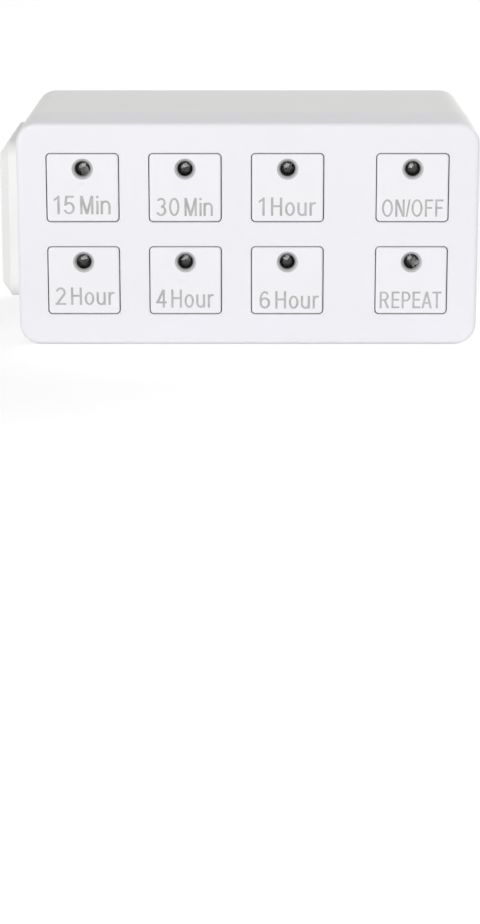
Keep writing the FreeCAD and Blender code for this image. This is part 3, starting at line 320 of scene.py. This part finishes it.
def key_field():
    """The grid of keys: a line round each key, a mask that is 1 at its middle, and how far its lamp is."""
    inputs = {"Place": None, "Half Width": CAP_HALF_WIDTH, "Half Height": CAP_HALF_HEIGHT, "Reach": 0.5 * MM}
    tree, given, made = effect("Key field", inputs, {"Rim": 0.0, "Middle": 0.0, "Lamp Distance": 0.0})
    place = parts_of(tree, given["Place"])
    across = nearest_of(tree, place[0], COLUMNS)
    up = nearest_of(tree, place[2], ROWS)
    outline = calc(tree, "MAXIMUM", calc(tree, "SUBTRACT", across, given["Half Width"]),
                   calc(tree, "SUBTRACT", up, given["Half Height"]))
    to_lamp = nearest_of(tree, place[2], [row + LAMP_RISE for row in ROWS])
    squares = calc(tree, "ADD", calc(tree, "POWER", across, 2.0), calc(tree, "POWER", to_lamp, 2.0))
    feed(tree, made["Lamp Distance"], calc(tree, "SQRT", squares))
    feed(tree, made["Rim"], fade(tree, calc(tree, "ABSOLUTE", outline), 0.0, given["Reach"], 1.0, 0.0))
    inner, outer = -CAP_HALF_HEIGHT * 0.9, -CAP_HALF_HEIGHT * 0.2
    feed(tree, made["Middle"], fade(tree, outline, inner, outer, 1.0, 0.0))
    return tree


def fine_scratches():
    """Thin hair lines that run one way: drawn out by the given factors, and broken up along their length."""
    inputs = {"Place": None, "Factors": None, "Size": 0.3 * MM, "Amount": 0.5}
    tree, given, made = effect("Fine scratches", inputs, {"Mask": 0.0, "Height": 0.5})
    along = stretched(tree, given["Place"], given["Factors"])
    lines = noise(tree, along, given["Size"], 3.0)
    breaks = noise(tree, given["Place"], calc(tree, "MULTIPLY", given["Size"], 14.0), 2.0)
    start = calc(tree, "SUBTRACT", 0.72, calc(tree, "MULTIPLY", given["Amount"], 0.25))
    drawn = fade(tree, lines, start, calc(tree, "ADD", start, 0.1))
    feed(tree, made["Mask"], calc(tree, "MULTIPLY", drawn, fade(tree, breaks, 0.35, 0.6)))
    feed(tree, made["Height"], lines)
    return tree


SKIN = moulded_skin()
RUB = rubbed_edges()
FIELD = key_field()
SCRATCHES = fine_scratches()


# Finishes
def toned(colour, factor, lift=0.0):
    """A lighter or darker tone of a colour, no brighter than white."""
    return tuple(min(1.0, factor * part + lift) for part in colour[:3]) + (1.0,)


def shell_plastic(name, colour, cloud, low, high, windows=False):
    """White case plastic: satin eroded grain, edges polished by handling, and painted shade in a soft line
    at the key windows.
    """
    material, tree, shader = finish_of(name, IOR=1.46)
    place = object_place(tree)
    skin = use(tree, SKIN, place=place, colour=colour, cloud_colour=cloud, cloud_size=11 * MM,
               cloud_depth=0.6, grain_size=0.16 * MM, roughness=0.43, spread=0.1)
    rub = use(tree, RUB, place=place, middle=(low + high) / 2, half=(high - low) / 2, width=1.1 * MM)["Mask"]
    shade = skin["Colour"]
    if windows:
        rim = use(tree, FIELD, place=place, half_width=CAP_HALF_WIDTH + WINDOW_GAP,
                  half_height=CAP_HALF_HEIGHT + WINDOW_GAP, reach=0.35 * MM)["Rim"]
        # Painted shade: a darker line round each key window, where the gap between key and cover lies in
        # shade
        shade = mix(tree, calc(tree, "MULTIPLY", rim, 0.12), shade, (0.6, 0.59, 0.6, 1.0))
    polished = calc(tree, "MULTIPLY", rub, 0.12)
    wire(tree, shader, Base_Color=mix(tree, calc(tree, "MULTIPLY", rub, 0.35), shade, cloud),
         Roughness=calc(tree, "SUBTRACT", skin["Roughness"], polished),
         Normal=bumped(tree, skin["Height"], 0.012 * MM, 0.5))
    return material


def key_plastic():
    """White key plastic, smoother than the case, polished where a finger presses, with painted shade along
    its rim at the gap and painted grey shade in the lamp ring.
    """
    material, tree, shader = finish_of("Key plastic", IOR=1.46)
    place = object_place(tree)
    skin = use(tree, SKIN, place=place, colour=(0.86, 0.857, 0.888, 1.0),
               cloud_colour=(0.845, 0.842, 0.868, 1.0), cloud_size=6 * MM, cloud_depth=0.5,
               grain_size=0.12 * MM, roughness=0.36, spread=0.09)
    field = use(tree, FIELD, place=place, reach=0.3 * MM)
    touched = calc(tree, "MULTIPLY", field["Middle"], 0.07)
    # Painted shade: a darker tone along each key's rim, at the gap round it
    wear_and_gap_shade = mix(tree, calc(tree, "MULTIPLY", field["Rim"], 0.25), skin["Colour"], (0.8, 0.8, 0.81, 1.0))
    away = field["Lamp Distance"]
    # Painted shade: the sloped ring round each lamp is painted grey, darker towards its window, as its
    # recess would look in shade
    ring = fade(tree, away, LAMP_RING, LAMP_RING + 0.05 * MM, 1.0, 0.0)
    painted_ring_shade = mix(tree, fade(tree, away, LAMP_WINDOW + 0.14 * MM, LAMP_RING - 0.22 * MM),
                     (0.3, 0.3, 0.3, 1.0), (0.55, 0.55, 0.56, 1.0))
    wire(tree, shader, Base_Color=mix(tree, ring, wear_and_gap_shade, painted_ring_shade),
         Roughness=calc(tree, "SUBTRACT", skin["Roughness"], touched),
         Normal=bumped(tree, skin["Height"], 0.008 * MM, 0.45))
    return material


def key_ink():
    """Pale grey pad-printed ink, thin in places, with a grain of its own."""
    material, tree, shader = finish_of("Key ink", IOR=1.5)
    place = object_place(tree)
    skin = use(tree, SKIN, place=place, colour=(0.39, 0.39, 0.385, 1.0),
               cloud_colour=(0.52, 0.52, 0.515, 1.0), cloud_size=1.4 * MM, cloud_depth=0.8,
               grain_size=0.06 * MM, roughness=0.5, spread=0.12)
    wire(tree, shader, Base_Color=skin["Colour"], Roughness=skin["Roughness"],
         Normal=bumped(tree, skin["Height"], 0.004 * MM, 0.5))
    return material


def lamp_glass():
    """Clear cast resin with faint swirls."""
    material, tree, shader = finish_of("Lamp resin", IOR=1.53, Transmission_Weight=0.98)
    place = object_place(tree)
    skin = use(tree, SKIN, place=place, colour=(0.96, 0.96, 0.95, 1.0), cloud_colour=(0.9, 0.91, 0.9, 1.0),
               cloud_size=1.2 * MM, cloud_depth=0.5, grain_size=1.2 * MM, roughness=0.02, spread=0.02)
    wire(tree, shader, Base_Color=skin["Colour"], Roughness=skin["Roughness"],
         Normal=bumped(tree, skin["Height"], 0.006 * MM, 0.2))
    return material


def metal(name, colour, wear_and_gap_shade, roughness, factors, size, amount=0.5, tip=None):
    """Plated or bare sheet metal: draw lines one way, clouded gloss, and plating rubbed through at a tip."""
    material, tree, shader = finish_of(name, Metallic=1.0)
    place = object_place(tree)
    skin = use(tree, SKIN, place=place, colour=colour, cloud_colour=toned(colour, 0.88), cloud_size=3 * MM,
               cloud_depth=0.7, grain_size=0.25 * MM, roughness=roughness, spread=0.14)
    lines = use(tree, SCRATCHES, place=place, factors=factors, size=size, amount=amount)
    base = mix(tree, calc(tree, "MULTIPLY", lines["Mask"], 0.35), skin["Colour"], wear_and_gap_shade)
    if tip is not None:
        near_tip = fade(tree, parts_of(tree, place)[1], tip - 5 * MM, tip + 1 * MM)
        patchy = fade(tree, noise(tree, place, 0.5 * MM, 5.0), 0.5, 0.75)
        bare = calc(tree, "MULTIPLY", calc(tree, "MULTIPLY", near_tip, patchy), 0.4)
        base = mix(tree, bare, base, wear_and_gap_shade)
    height = mix(tree, 0.6, skin["Height"], lines["Height"], "FLOAT")
    wire(tree, shader, Base_Color=base, Roughness=skin["Roughness"],
         Normal=bumped(tree, height, 0.006 * MM, 0.5))
    return material


def inner_plastic(name, colour, roughness=0.45, grain=0.2 * MM, coat=0.0):
    """Engineering plastic or lacquer of the inner parts, with pale scuffs."""
    material, tree, shader = finish_of(name, IOR=1.5, Coat_Weight=coat)
    place = object_place(tree)
    skin = use(tree, SKIN, place=place, colour=colour, cloud_colour=toned(colour, 1.25), cloud_size=3 * MM,
               cloud_depth=0.7, grain_size=grain, roughness=roughness, spread=0.15)
    scuffs = use(tree, SCRATCHES, place=place, factors=(1.0, 0.25, 0.6), size=0.3 * MM, amount=0.15)["Mask"]
    pale = toned(colour, 0.5, 0.3)
    wire(tree, shader, Base_Color=mix(tree, calc(tree, "MULTIPLY", scuffs, 0.3), skin["Colour"], pale),
         Roughness=skin["Roughness"], Normal=bumped(tree, skin["Height"], 0.015 * MM, 0.6))
    return material


def board_laminate():
    """Green lacquered laminate: copper runs show through the lacquer."""
    material, tree, shader = finish_of("Board laminate", IOR=1.5)
    place = object_place(tree)
    turned = add(tree, "ShaderNodeMapping",
                 inputs={"Vector": place, "Rotation": (math.pi / 2, 0.0, 0.0)})
    runs = add(tree, "ShaderNodeTexBrick", {"offset": 0.37, "squash": 1.6}, {
        "Vector": turned.outputs[0], "Scale": 1.0, "Mortar Size": 0.22 * MM, "Mortar Smooth": 0.1,
        "Brick Width": 5.2 * MM, "Row Height": 1.9 * MM,
    }).outputs["Fac"]
    skin = use(tree, SKIN, place=place, colour=(0.012, 0.13, 0.045, 1.0),
               cloud_colour=(0.016, 0.17, 0.06, 1.0), cloud_size=4 * MM, cloud_depth=0.7,
               grain_size=0.35 * MM, roughness=0.3, spread=0.1)
    wire(tree, shader, Base_Color=mix(tree, calc(tree, "MULTIPLY", runs, 0.7), skin["Colour"],
                                      (0.05, 0.28, 0.1, 1.0)),
         Roughness=skin["Roughness"],
         Normal=bumped(tree, mix(tree, 0.7, skin["Height"], runs, "FLOAT"), 0.03 * MM, 0.7))
    return material


def banded_sleeve(name, colour, band, axis, start, width, roughness=0.35):
    """A round part with a printed band across it, such as a capacitor's or a resistor's."""
    material, tree, shader = finish_of(name, IOR=1.5)
    place = object_place(tree)
    skin = use(tree, SKIN, place=place, colour=colour, cloud_colour=toned(colour, 1.3), cloud_size=2 * MM,
               cloud_depth=0.6, grain_size=0.2 * MM, roughness=roughness, spread=0.1)
    inside = away_from(tree, parts_of(tree, place)[axis], start + width / 2)
    stripe = fade(tree, inside, width * 0.48, width * 0.52, 1.0, 0.0)
    wire(tree, shader, Base_Color=mix(tree, stripe, skin["Colour"], band), Roughness=skin["Roughness"],
         Normal=bumped(tree, skin["Height"], 0.01 * MM, 0.5))
    return material


def dress_nodes():
    """Gives every node of the frame its finish: by its slot, or by its own name where the slot is shared."""
    capacitor_low, capacitor_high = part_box("smoothing_capacitor")
    resistor_low, resistor_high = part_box("fuse_resistor")
    nickel = (0.62, 0.6, 0.56, 1.0)
    brass = (0.7, 0.52, 0.25, 1.0)
    tin = (0.66, 0.66, 0.65, 1.0)
    cover, cover_cloud = (0.845, 0.838, 0.878, 1.0), (0.83, 0.825, 0.855, 1.0)
    housing, housing_cloud = (0.88, 0.882, 0.87, 1.0), (0.86, 0.862, 0.845, 1.0)
    by_slot = {
        "key_plastic": key_plastic(),
        "lamp_lens": lamp_glass(),
        "carrier_plastic": inner_plastic("Carrier plastic", (0.05, 0.05, 0.055, 1.0)),
        "black_plastic": inner_plastic("Black plastic", (0.014, 0.014, 0.015, 1.0), 0.4),
        "relay_plastic": inner_plastic("Relay case", (0.02, 0.09, 0.32, 1.0), 0.32),
        "board_green": board_laminate(),
        "capacitor_yellow": inner_plastic("Film capacitor case", (0.72, 0.5, 0.06, 1.0), 0.4),
        "capacitor_sleeve": banded_sleeve("Capacitor sleeve", (0.016, 0.018, 0.03, 1.0),
                                          (0.5, 0.5, 0.5, 1.0), 0, capacitor_low.x,
                                          (capacitor_high.x - capacitor_low.x) * 0.2),
        "varistor_coat": inner_plastic("Varistor lacquer", (0.02, 0.12, 0.3, 1.0), 0.22, 0.5 * MM, 0.5),
        "resistor_coat": banded_sleeve("Resistor lacquer", (0.2, 0.33, 0.34, 1.0), (0.32, 0.16, 0.05, 1.0),
                                       2, (resistor_low.z + resistor_high.z) / 2, 0.9 * MM, 0.5),
        "plated_steel": metal("Plated steel", (0.55, 0.55, 0.54, 1.0), (0.35, 0.33, 0.3, 1.0), 0.34,
                              (1.0, 0.3, 1.0), 0.2 * MM),
        "tinned_lead": metal("Tinned lead", tin, (0.45, 0.44, 0.42, 1.0), 0.36, (1.0, 0.2, 1.0),
                             0.12 * MM),
        "plug_metal": metal("Nickel plate", nickel, brass, 0.24, (1.0, 0.04, 1.0), 0.14 * MM, 0.6,
                            PIN_TIP),
        "brass_strip": metal("Brass strip", brass, (0.42, 0.28, 0.12, 1.0), 0.34, (0.1, 1.0, 1.0),
                             0.15 * MM),
        "case_plastic": shell_plastic("Housing plastic", housing, housing_cloud, HOUSING_LOW, CASE_HIGH),
    }
    by_name = {
        "front_cover": shell_plastic("Cover plastic", cover, cover_cloud, CASE_LOW, CASE_HIGH, windows=True),
        "outlet_plate": shell_plastic("Outlet plastic", housing, housing_cloud, PAD_LOW, PAD_HIGH),
    }
    for name, item in nodes.items():
        for slot in item.material_slots:
            slot.material = by_name.get(name) or by_slot[slot.material.name]


# Pieces
def place_piece(name, mesh, body, material):
    """Makes a finished piece of a mesh that is already in place, and hangs it on its body."""
    piece = bpy.data.objects.new(name, mesh)
    bpy.context.scene.collection.objects.link(piece)
    mesh.materials.clear()
    mesh.materials.append(material)
    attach(piece, body)


def plain_mesh(item, name):
    """What an object evaluates to, as a mesh of its own."""
    seen = item.evaluated_get(bpy.context.evaluated_depsgraph_get())
    mesh = bpy.data.meshes.new_from_object(seen)
    mesh.name = name
    return mesh


def block(left, low, right, high):
    """A plain bar, as a list of one face, as every stroke is a list of faces."""
    return [[(left, low), (right, low), (right, high), (left, high)]]


def upright(left, low=0.0, high=1.0):
    return block(left, low, left + STEM, high)


def level(low, left, right):
    return block(left, low, right, low + BAR)


def slant(foot, head, width=SLANT_WIDTH, low=0.0, high=1.0):
    """A sloping stroke cut level at both ends."""
    return [[(foot, low), (foot + width, low), (head + width, high), (head, high)]]


def bow(x, y, across, up, start=0, end=360):
    """A round stroke between two angles in degrees, as a row of small faces."""
    first, last = math.radians(start), math.radians(end)
    count = math.ceil((last - first) / ARC_STEP)
    turns = [first + (last - first) * step / count for step in range(count + 1)]
    outer = [(x + across * math.cos(t), y + up * math.sin(t)) for t in turns]
    inner = [(x + (across - STEM) * math.cos(t), y + (up - BAR) * math.sin(t)) for t in turns]
    return [[inner[i], outer[i], outer[i + 1], inner[i + 1]] for i in range(count)]


# Each letter: space before it, its width, space after it, and its strokes
LETTERS = {
    "1": (0.05, 0.30, 0.12, upright(0.182)
          + [[(0.0, 0.69), (0.19, 0.83), (0.24, 1.0), (0.0, 0.81)]]),
    "2": (0.07, 0.55, 0.07, bow(0.28, 0.71, 0.265, 0.29, -32, 165)
          + slant(0.0, 0.39, 0.15, 0.04, 0.61) + level(0.0, 0.0, 0.55)),
    "3": (0.07, 0.55, 0.07, bow(0.265, 0.735, 0.25, 0.265, -90, 152)
          + bow(0.265, 0.29, 0.28, 0.29, -158, 90)),
    "0": (0.07, 0.56, 0.07, bow(0.28, 0.5, 0.28, 0.5)),
    "4": (0.05, 0.57, 0.05, upright(0.355) + level(0.23, 0.0, 0.57) + slant(0.0, 0.335, 0.14, 0.26)),
    "5": (0.07, 0.56, 0.07, level(1.0 - BAR, 0.09, 0.52) + slant(0.03, 0.09, 0.12, 0.46)
          + bow(0.275, 0.33, 0.285, 0.33, -160, 138)),
    "6": (0.07, 0.56, 0.07, bow(0.285, 0.32, 0.275, 0.32) + bow(0.285, 0.5, 0.285, 0.5, 48, 200)),
    "M": (0.08, 0.66, 0.08, upright(0.0) + upright(0.66 - STEM)
          + slant(0.265, 0.0, 0.13) + slant(0.265, 0.53, 0.13)),
    "i": (0.06, STEM, 0.05, upright(0.0, 0.0, LOW_LETTER) + upright(0.0, 0.87)),
    "n": (0.05, 0.5, 0.06, upright(0.0, 0.0, LOW_LETTER) + upright(0.5 - STEM, 0.0, 0.47)
          + bow(0.25, 0.46, 0.25, 0.285, 0, 165)),
    "H": (0.08, 0.57, 0.08, upright(0.0) + upright(0.57 - STEM) + level(0.47, 0.0, 0.57)),
    "o": (0.06, 0.51, 0.06, bow(0.255, 0.365, 0.255, 0.38)),
    "u": (0.06, 0.48, 0.07, upright(0.48 - STEM, 0.0, LOW_LETTER) + upright(0.0, 0.26, LOW_LETTER)
          + bow(0.24, 0.275, 0.24, 0.29, 180, 345)),
    "r": (0.07, 0.30, 0.03, upright(0.0, 0.0, LOW_LETTER) + bow(0.25, 0.43, 0.25, 0.315, 68, 160)),
    "O": (0.06, 0.64, 0.06, bow(0.32, 0.5, 0.32, 0.51)),
    "N": (0.08, 0.54, 0.06, upright(0.0) + upright(0.54 - STEM) + slant(0.40, 0.0, 0.14)),
    "/": (0.0, 0.28, 0.0, slant(0.0, 0.18, 0.1, -0.01, 1.01)),
    "F": (0.08, 0.47, 0.05, upright(0.0) + level(1.0 - BAR, 0.0, 0.47) + level(0.46, 0.0, 0.42)),
    "R": (0.08, 0.56, 0.05, upright(0.0) + level(1.0 - BAR, 0.0, 0.3) + level(0.44, 0.0, 0.3)
          + bow(0.27, 0.72, 0.25, 0.28, -90, 90) + slant(0.42, 0.22, 0.14, 0.0, 0.5)),
    "E": (0.08, 0.46, 0.05, upright(0.0) + level(0.0, 0.0, 0.46) + level(0.46, 0.0, 0.43)
          + level(1.0 - BAR, 0.0, 0.46)),
    "P": (0.08, 0.51, 0.04, upright(0.0) + level(1.0 - BAR, 0.0, 0.28) + level(0.41, 0.0, 0.28)
          + bow(0.25, 0.705, 0.26, 0.295, -90, 90)),
    "A": (0.01, 0.62, 0.0, slant(0.0, 0.245, 0.13) + slant(0.49, 0.245, 0.13) + level(0.26, 0.1, 0.52)),
    "T": (0.02, 0.52, 0.03, level(1.0 - BAR, 0.0, 0.52) + upright(0.26 - STEM / 2)),
}


def written(words):
    """Words as one thin closed solid in the x and y plane: the strokes are merged, then given thickness."""
    corners, faces, pen = [], [], 0.0
    for letter in words:
        if letter == " ":
            pen += WORD_SPACE
            continue
        before, width, after, strokes = LETTERS[letter]
        for stroke in strokes:
            faces.append(list(range(len(corners), len(corners) + len(stroke))))
            corners += [Vector((pen + before + x, y)) for x, y in stroke]
        pen += before + width + after
    merged = delaunay_2d_cdt(corners, [], faces, INSIDE_ONLY, CORNER_MERGE)
    places, triangles, stroke_lists = merged[0], merged[2], merged[5]
    shape = bmesh.new()
    points = [shape.verts.new((place.x, place.y, -0.5)) for place in places]
    for triangle, strokes in zip(triangles, stroke_lists):
        if strokes:
            shape.faces.new([points[index] for index in triangle])
    bmesh.ops.dissolve_limit(shape, angle_limit=STRAIGHT, verts=shape.verts, edges=shape.edges)
    raised = bmesh.ops.extrude_face_region(shape, geom=shape.faces[:], use_keep_orig=True)["geom"]
    top = [part for part in raised if isinstance(part, bmesh.types.BMVert)]
    bmesh.ops.translate(shape, vec=(0.0, 0.0, 1.0), verts=top)
    bmesh.ops.recalc_face_normals(shape, faces=shape.faces)
    mesh = bpy.data.meshes.new("Letters")
    shape.to_mesh(mesh)
    shape.free()
    return mesh


def print_key(key, ink):
    """One key's words, fitted to their width and height and laid on the key's face."""
    form = PRINTS[key]
    mesh = written(form.words)
    corners = [v.co for v in mesh.vertices]
    left, right = min(c.x for c in corners), max(c.x for c in corners)
    foot, top = min(c.y for c in corners), max(c.y for c in corners)
    middle = KEY_MIDDLES[key]
    centred = Matrix.Translation((-(left + right) / 2, -foot, 0.0))
    sized = Matrix.Diagonal((form.width / (right - left), form.capital / (top - foot), INK_THICKNESS, 1.0))
    stood = Matrix.Rotation(math.pi / 2, 4, "X")
    laid = Matrix.Translation((middle.x + form.across, KEY_FACE - INK_THICKNESS / 2, middle.z - form.drop))
    mesh.transform(laid @ stood @ sized @ centred)
    mesh.name = f"print_{key}"
    place_piece(f"print_{key}", mesh, f"button_{key}", ink)


def geometry_tree(name, inputs):
    """A geometry group with these named numbers, as its tree, what goes in and its last socket."""
    tree = bpy.data.node_groups.new(name, "GeometryNodeTree")
    tree.interface.new_socket("Geometry", in_out="INPUT", socket_type="NodeSocketGeometry")
    for label, value in inputs.items():
        made = tree.interface.new_socket(label, in_out="INPUT", socket_type="NodeSocketFloat")
        made.default_value = value
    tree.interface.new_socket("Geometry", in_out="OUTPUT", socket_type="NodeSocketGeometry")
    given = tree.nodes.new("NodeGroupInput").outputs
    return tree, given, tree.nodes.new("NodeGroupOutput").inputs[0]


def vector(tree, x=0.0, y=0.0, z=0.0):
    """Three numbers, constants or wires, as one vector."""
    return add(tree, "ShaderNodeCombineXYZ", inputs={0: x, 1: y, 2: z}).outputs[0]


def moved(tree, geometry, shift=None, turn=None):
    """Geometry at another place, turned first."""
    inputs = {"Geometry": geometry}
    if shift is not None:
        inputs["Translation"] = shift
    if turn is not None:
        inputs["Rotation"] = turn
    return add(tree, "GeometryNodeTransform", inputs=inputs).outputs[0]


def joined(tree, *parts):
    """Several geometries as one."""
    node = tree.nodes.new("GeometryNodeJoinGeometry")
    for part in parts:
        tree.links.new(part, node.inputs[0])
    return node.outputs[0]


def set_at_lamps(tree, points, part, out, material):
    """Sets one part at every lamp, each turned its own way, and closes the tree."""
    # Sockets 2, 3 and 8 of this node are a plain number's least and most, and the seed
    turn = add(tree, "FunctionNodeRandomValue", {"data_type": "FLOAT"},
               {2: 0.0, 3: 2 * math.pi, 8: TURN_SEED})
    inputs = {"Points": points, "Instance": part, "Rotation": vector(tree, y=turn.outputs[1])}
    each = add(tree, "GeometryNodeInstanceOnPoints", inputs=inputs).outputs[0]
    real = add(tree, "GeometryNodeRealizeInstances", inputs={0: each}).outputs[0]
    done = add(tree, "GeometryNodeSetMaterial", inputs={"Geometry": real, "Material": material})
    tree.links.new(done.outputs[0], out)


def lead_frame_tree(material):
    """The metal in a lamp: a cup on its anvil, the post beside it, and the wire between them."""
    inputs = {
        "Cup Rim": CUP_RIM, "Cup Floor": CUP_FLOOR, "Cup Depth": CUP_DEPTH, "Cup Wall": CUP_WALL,
        "Anvil Width": ANVIL_WIDTH, "Post Width": POST_WIDTH, "Thickness": FRAME_THICKNESS,
        "Post Across": POST_ACROSS, "Length": FRAME_LENGTH, "Wire": WIRE_RADIUS, "Wire Rise": WIRE_RISE,
    }
    tree, given, out = geometry_tree("Lamp lead frame", inputs)
    facing = (math.pi / 2, 0.0, 0.0)
    half_length = calc(tree, "MULTIPLY", given["Length"], 0.5)
    outer_rim = calc(tree, "ADD", given["Cup Rim"], given["Cup Wall"])
    outer_floor = calc(tree, "ADD", given["Cup Floor"], given["Cup Wall"])
    cup = add(tree, "GeometryNodeMeshCone", {"fill_type": "NGON"}, {
        "Vertices": ROUND_SIDES, "Radius Top": outer_rim, "Radius Bottom": outer_floor,
        "Depth": calc(tree, "ADD", given["Cup Depth"], given["Cup Wall"]),
    }).outputs[0]
    hollow = add(tree, "GeometryNodeMeshCone", {"fill_type": "NGON"}, {
        "Vertices": ROUND_SIDES, "Radius Top": given["Cup Rim"], "Radius Bottom": given["Cup Floor"],
        "Depth": given["Cup Depth"],
    }).outputs[0]
    raised = moved(tree, hollow, vector(tree, z=calc(tree, "ADD", given["Cup Wall"], 0.01 * MM)))
    bowl = add(tree, "GeometryNodeMeshBoolean", {"operation": "DIFFERENCE"}, {0: cup, 1: raised}).outputs[0]
    bowl = moved(tree, bowl, vector(tree, y=calc(tree, "MULTIPLY", given["Cup Wall"], -1.0)), facing)
    behind = calc(tree, "ADD", half_length, given["Cup Depth"])
    anvil = add(tree, "GeometryNodeMeshCube", inputs={
        "Size": vector(tree, given["Anvil Width"], given["Length"], given["Thickness"]),
    }).outputs[0]
    post = add(tree, "GeometryNodeMeshCube", inputs={
        "Size": vector(tree, given["Post Width"], given["Length"], given["Thickness"]),
    }).outputs[0]
    anvil = moved(tree, anvil, vector(tree, calc(tree, "MULTIPLY", given["Post Width"], -0.4), behind))
    post = moved(tree, post, vector(tree, given["Post Across"], behind))
    arc = add(tree, "GeometryNodeCurveQuadraticBezier", inputs={
        "Resolution": WIRE_STEPS, "Start": vector(tree, y=given["Cup Depth"]),
        "Middle": vector(tree, calc(tree, "MULTIPLY", given["Post Across"], 0.45),
                         calc(tree, "MULTIPLY", given["Wire Rise"], -2.0)),
        "End": vector(tree, given["Post Across"], given["Cup Depth"]),
    }).outputs[0]
    section = add(tree, "GeometryNodeCurvePrimitiveCircle",
                  inputs={"Resolution": WIRE_SIDES, "Radius": given["Wire"]})
    thread = add(tree, "GeometryNodeCurveToMesh", inputs={
        "Curve": arc, "Profile Curve": section.outputs[0], "Fill Caps": True,
    }).outputs[0]
    set_at_lamps(tree, given["Geometry"], joined(tree, bowl, anvil, post, thread), out, material)
    return tree


def chip_tree(material):
    """The lamp's chip, on the floor of its cup."""
    tree, given, out = geometry_tree("Lamp chip", {"Side": CHIP_SIDE, "Cup Depth": CUP_DEPTH})
    side = given["Side"]
    chip = add(tree, "GeometryNodeMeshCube", inputs={"Size": vector(tree, side, side, side)}).outputs[0]
    back = calc(tree, "SUBTRACT", given["Cup Depth"], calc(tree, "MULTIPLY", side, 0.5))
    set_at_lamps(tree, given["Geometry"], moved(tree, chip, vector(tree, y=back)), out, material)
    return tree


def at_every_lamp(name, tree, material):
    """Runs a lamp tree on a point in each lamp and keeps the result as one plain piece."""
    rim = LAMP_TIP + CUP_BEHIND_TIP
    points = [(middle.x, rim, middle.z + LAMP_RISE) for middle in KEY_MIDDLES.values()]
    mesh = bpy.data.meshes.new("Lamp places")
    mesh.from_pydata(points, [], [])
    carrier = bpy.data.objects.new("Lamp places", mesh)
    bpy.context.scene.collection.objects.link(carrier)
    carrier.modifiers.new("Set at lamps", "NODES").node_group = tree
    bpy.context.view_layer.update()
    result = plain_mesh(carrier, name)
    bpy.data.objects.remove(carrier)
    place_piece(name, result, "root", material)


def fill_lamps():
    """The parts cast into the eight clear lamps."""
    frame_metal = metal("Lamp frame metal", (0.11, 0.11, 0.11, 1.0), (0.2, 0.2, 0.2, 1.0), 0.42,
                        (1.0, 0.2, 1.0), 0.1 * MM)
    chip = inner_plastic("Lamp chip", (0.78, 0.77, 0.72, 1.0), 0.25, 0.05 * MM, coat=0.5)
    at_every_lamp("lamp_frames", lead_frame_tree(frame_metal), frame_metal)
    at_every_lamp("lamp_chips", chip_tree(chip), chip)


# Studio
def seen_directly(tree):
    """1 for rays that show a surface itself, its mirror image or its look through glass."""
    rays = add(tree, "ShaderNodeLightPath").outputs
    shown = calc(tree, "MAXIMUM", rays["Is Camera Ray"], rays["Is Glossy Ray"])
    return calc(tree, "MAXIMUM", shown, rays["Is Transmission Ray"])


def lay_floor():
    """A pale floor under the object that keeps its shadow."""
    half = FLOOR_SIDE / 2
    mesh = bpy.data.meshes.new("floor")
    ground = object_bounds()[0].z - FLOOR_DROP
    corners = ((-half, -half), (half, -half), (half, half), (-half, half))
    mesh.from_pydata([(x, y, ground) for x, y in corners], [], [(0, 1, 2, 3)])
    material, tree, shader = finish_of("Floor paper", Roughness=0.9)
    place = object_place(tree)
    fibres = noise(tree, place, 4 * MM, 5.0)
    spot = add(tree, "ShaderNodeVectorMath", {"operation": "LENGTH"}, {0: place}).outputs["Value"]
    paper = mix(tree, calc(tree, "MULTIPLY", fibres, 0.06), (0.94, 0.94, 0.94, 1.0), (0.88, 0.88, 0.88, 1.0))
    wire(tree, shader, Base_Color=paper, Emission_Color=WHITE,
         Emission_Strength=calc(tree, "MULTIPLY", seen_directly(tree), FLOOR_LIFT),
         Alpha=fade(tree, spot, *FLOOR_FADE, 1.0, 0.0))
    mesh.materials.append(material)
    floor = bpy.data.objects.new("floor", mesh)
    bpy.context.scene.collection.objects.link(floor)


def fill_air():
    """Even light from all round, with a white surround where it is seen."""
    world = bpy.data.worlds.new("Studio air")
    bpy.context.scene.world = world
    world.use_nodes = True
    tree = world.node_tree
    strength = mix(tree, seen_directly(tree), AIR_STRENGTH, 1.0, "FLOAT")
    feed(tree, tree.nodes["Background"].inputs["Color"], WHITE)
    feed(tree, tree.nodes["Background"].inputs["Strength"], strength)


def hang_softbox(softbox):
    """A square soft lamp aimed at the object; its share is how brightly it alone shows a white card."""
    light = bpy.data.lights.new(softbox.name, "AREA")
    light.size = softbox.side
    light.energy = softbox.share * math.pi ** 2 * softbox.distance ** 2
    lamp = bpy.data.objects.new(softbox.name, light)
    across, up = math.radians(softbox.azimuth), math.radians(softbox.elevation)
    towards = Vector((math.sin(across) * math.cos(up), -math.cos(across) * math.cos(up), math.sin(up)))
    lamp.location = CASE_MIDDLE + towards * softbox.distance
    lamp.rotation_euler = towards.to_track_quat("Z", "Y").to_euler()
    bpy.context.scene.collection.objects.link(lamp)


def set_camera():
    """The camera looks down a little on the front, with the object high in a tall picture."""
    lens = bpy.data.cameras.new("Camera")
    lens.lens = CAMERA_LENS
    lens.sensor_width = CAMERA_SENSOR
    lens.shift_x, lens.shift_y = CAMERA_SHIFT
    lens.clip_start = CAMERA_NEAR
    camera = bpy.data.objects.new("Camera", lens)
    back = Vector((0.0, -math.cos(CAMERA_ELEVATION), math.sin(CAMERA_ELEVATION)))
    camera.location = CASE_MIDDLE + back * CAMERA_DISTANCE
    camera.rotation_euler = (math.pi / 2 - CAMERA_ELEVATION, 0.0, 0.0)
    bpy.context.scene.collection.objects.link(camera)
    bpy.context.scene.camera = camera


set_camera()
dress_nodes()
ink = key_ink()
for key in KEYS:
    print_key(key, ink)
fill_lamps()
lay_floor()
fill_air()
for softbox in SOFTBOXES:
    hang_softbox(softbox)
bpy.context.scene.view_settings.view_transform = "Standard"
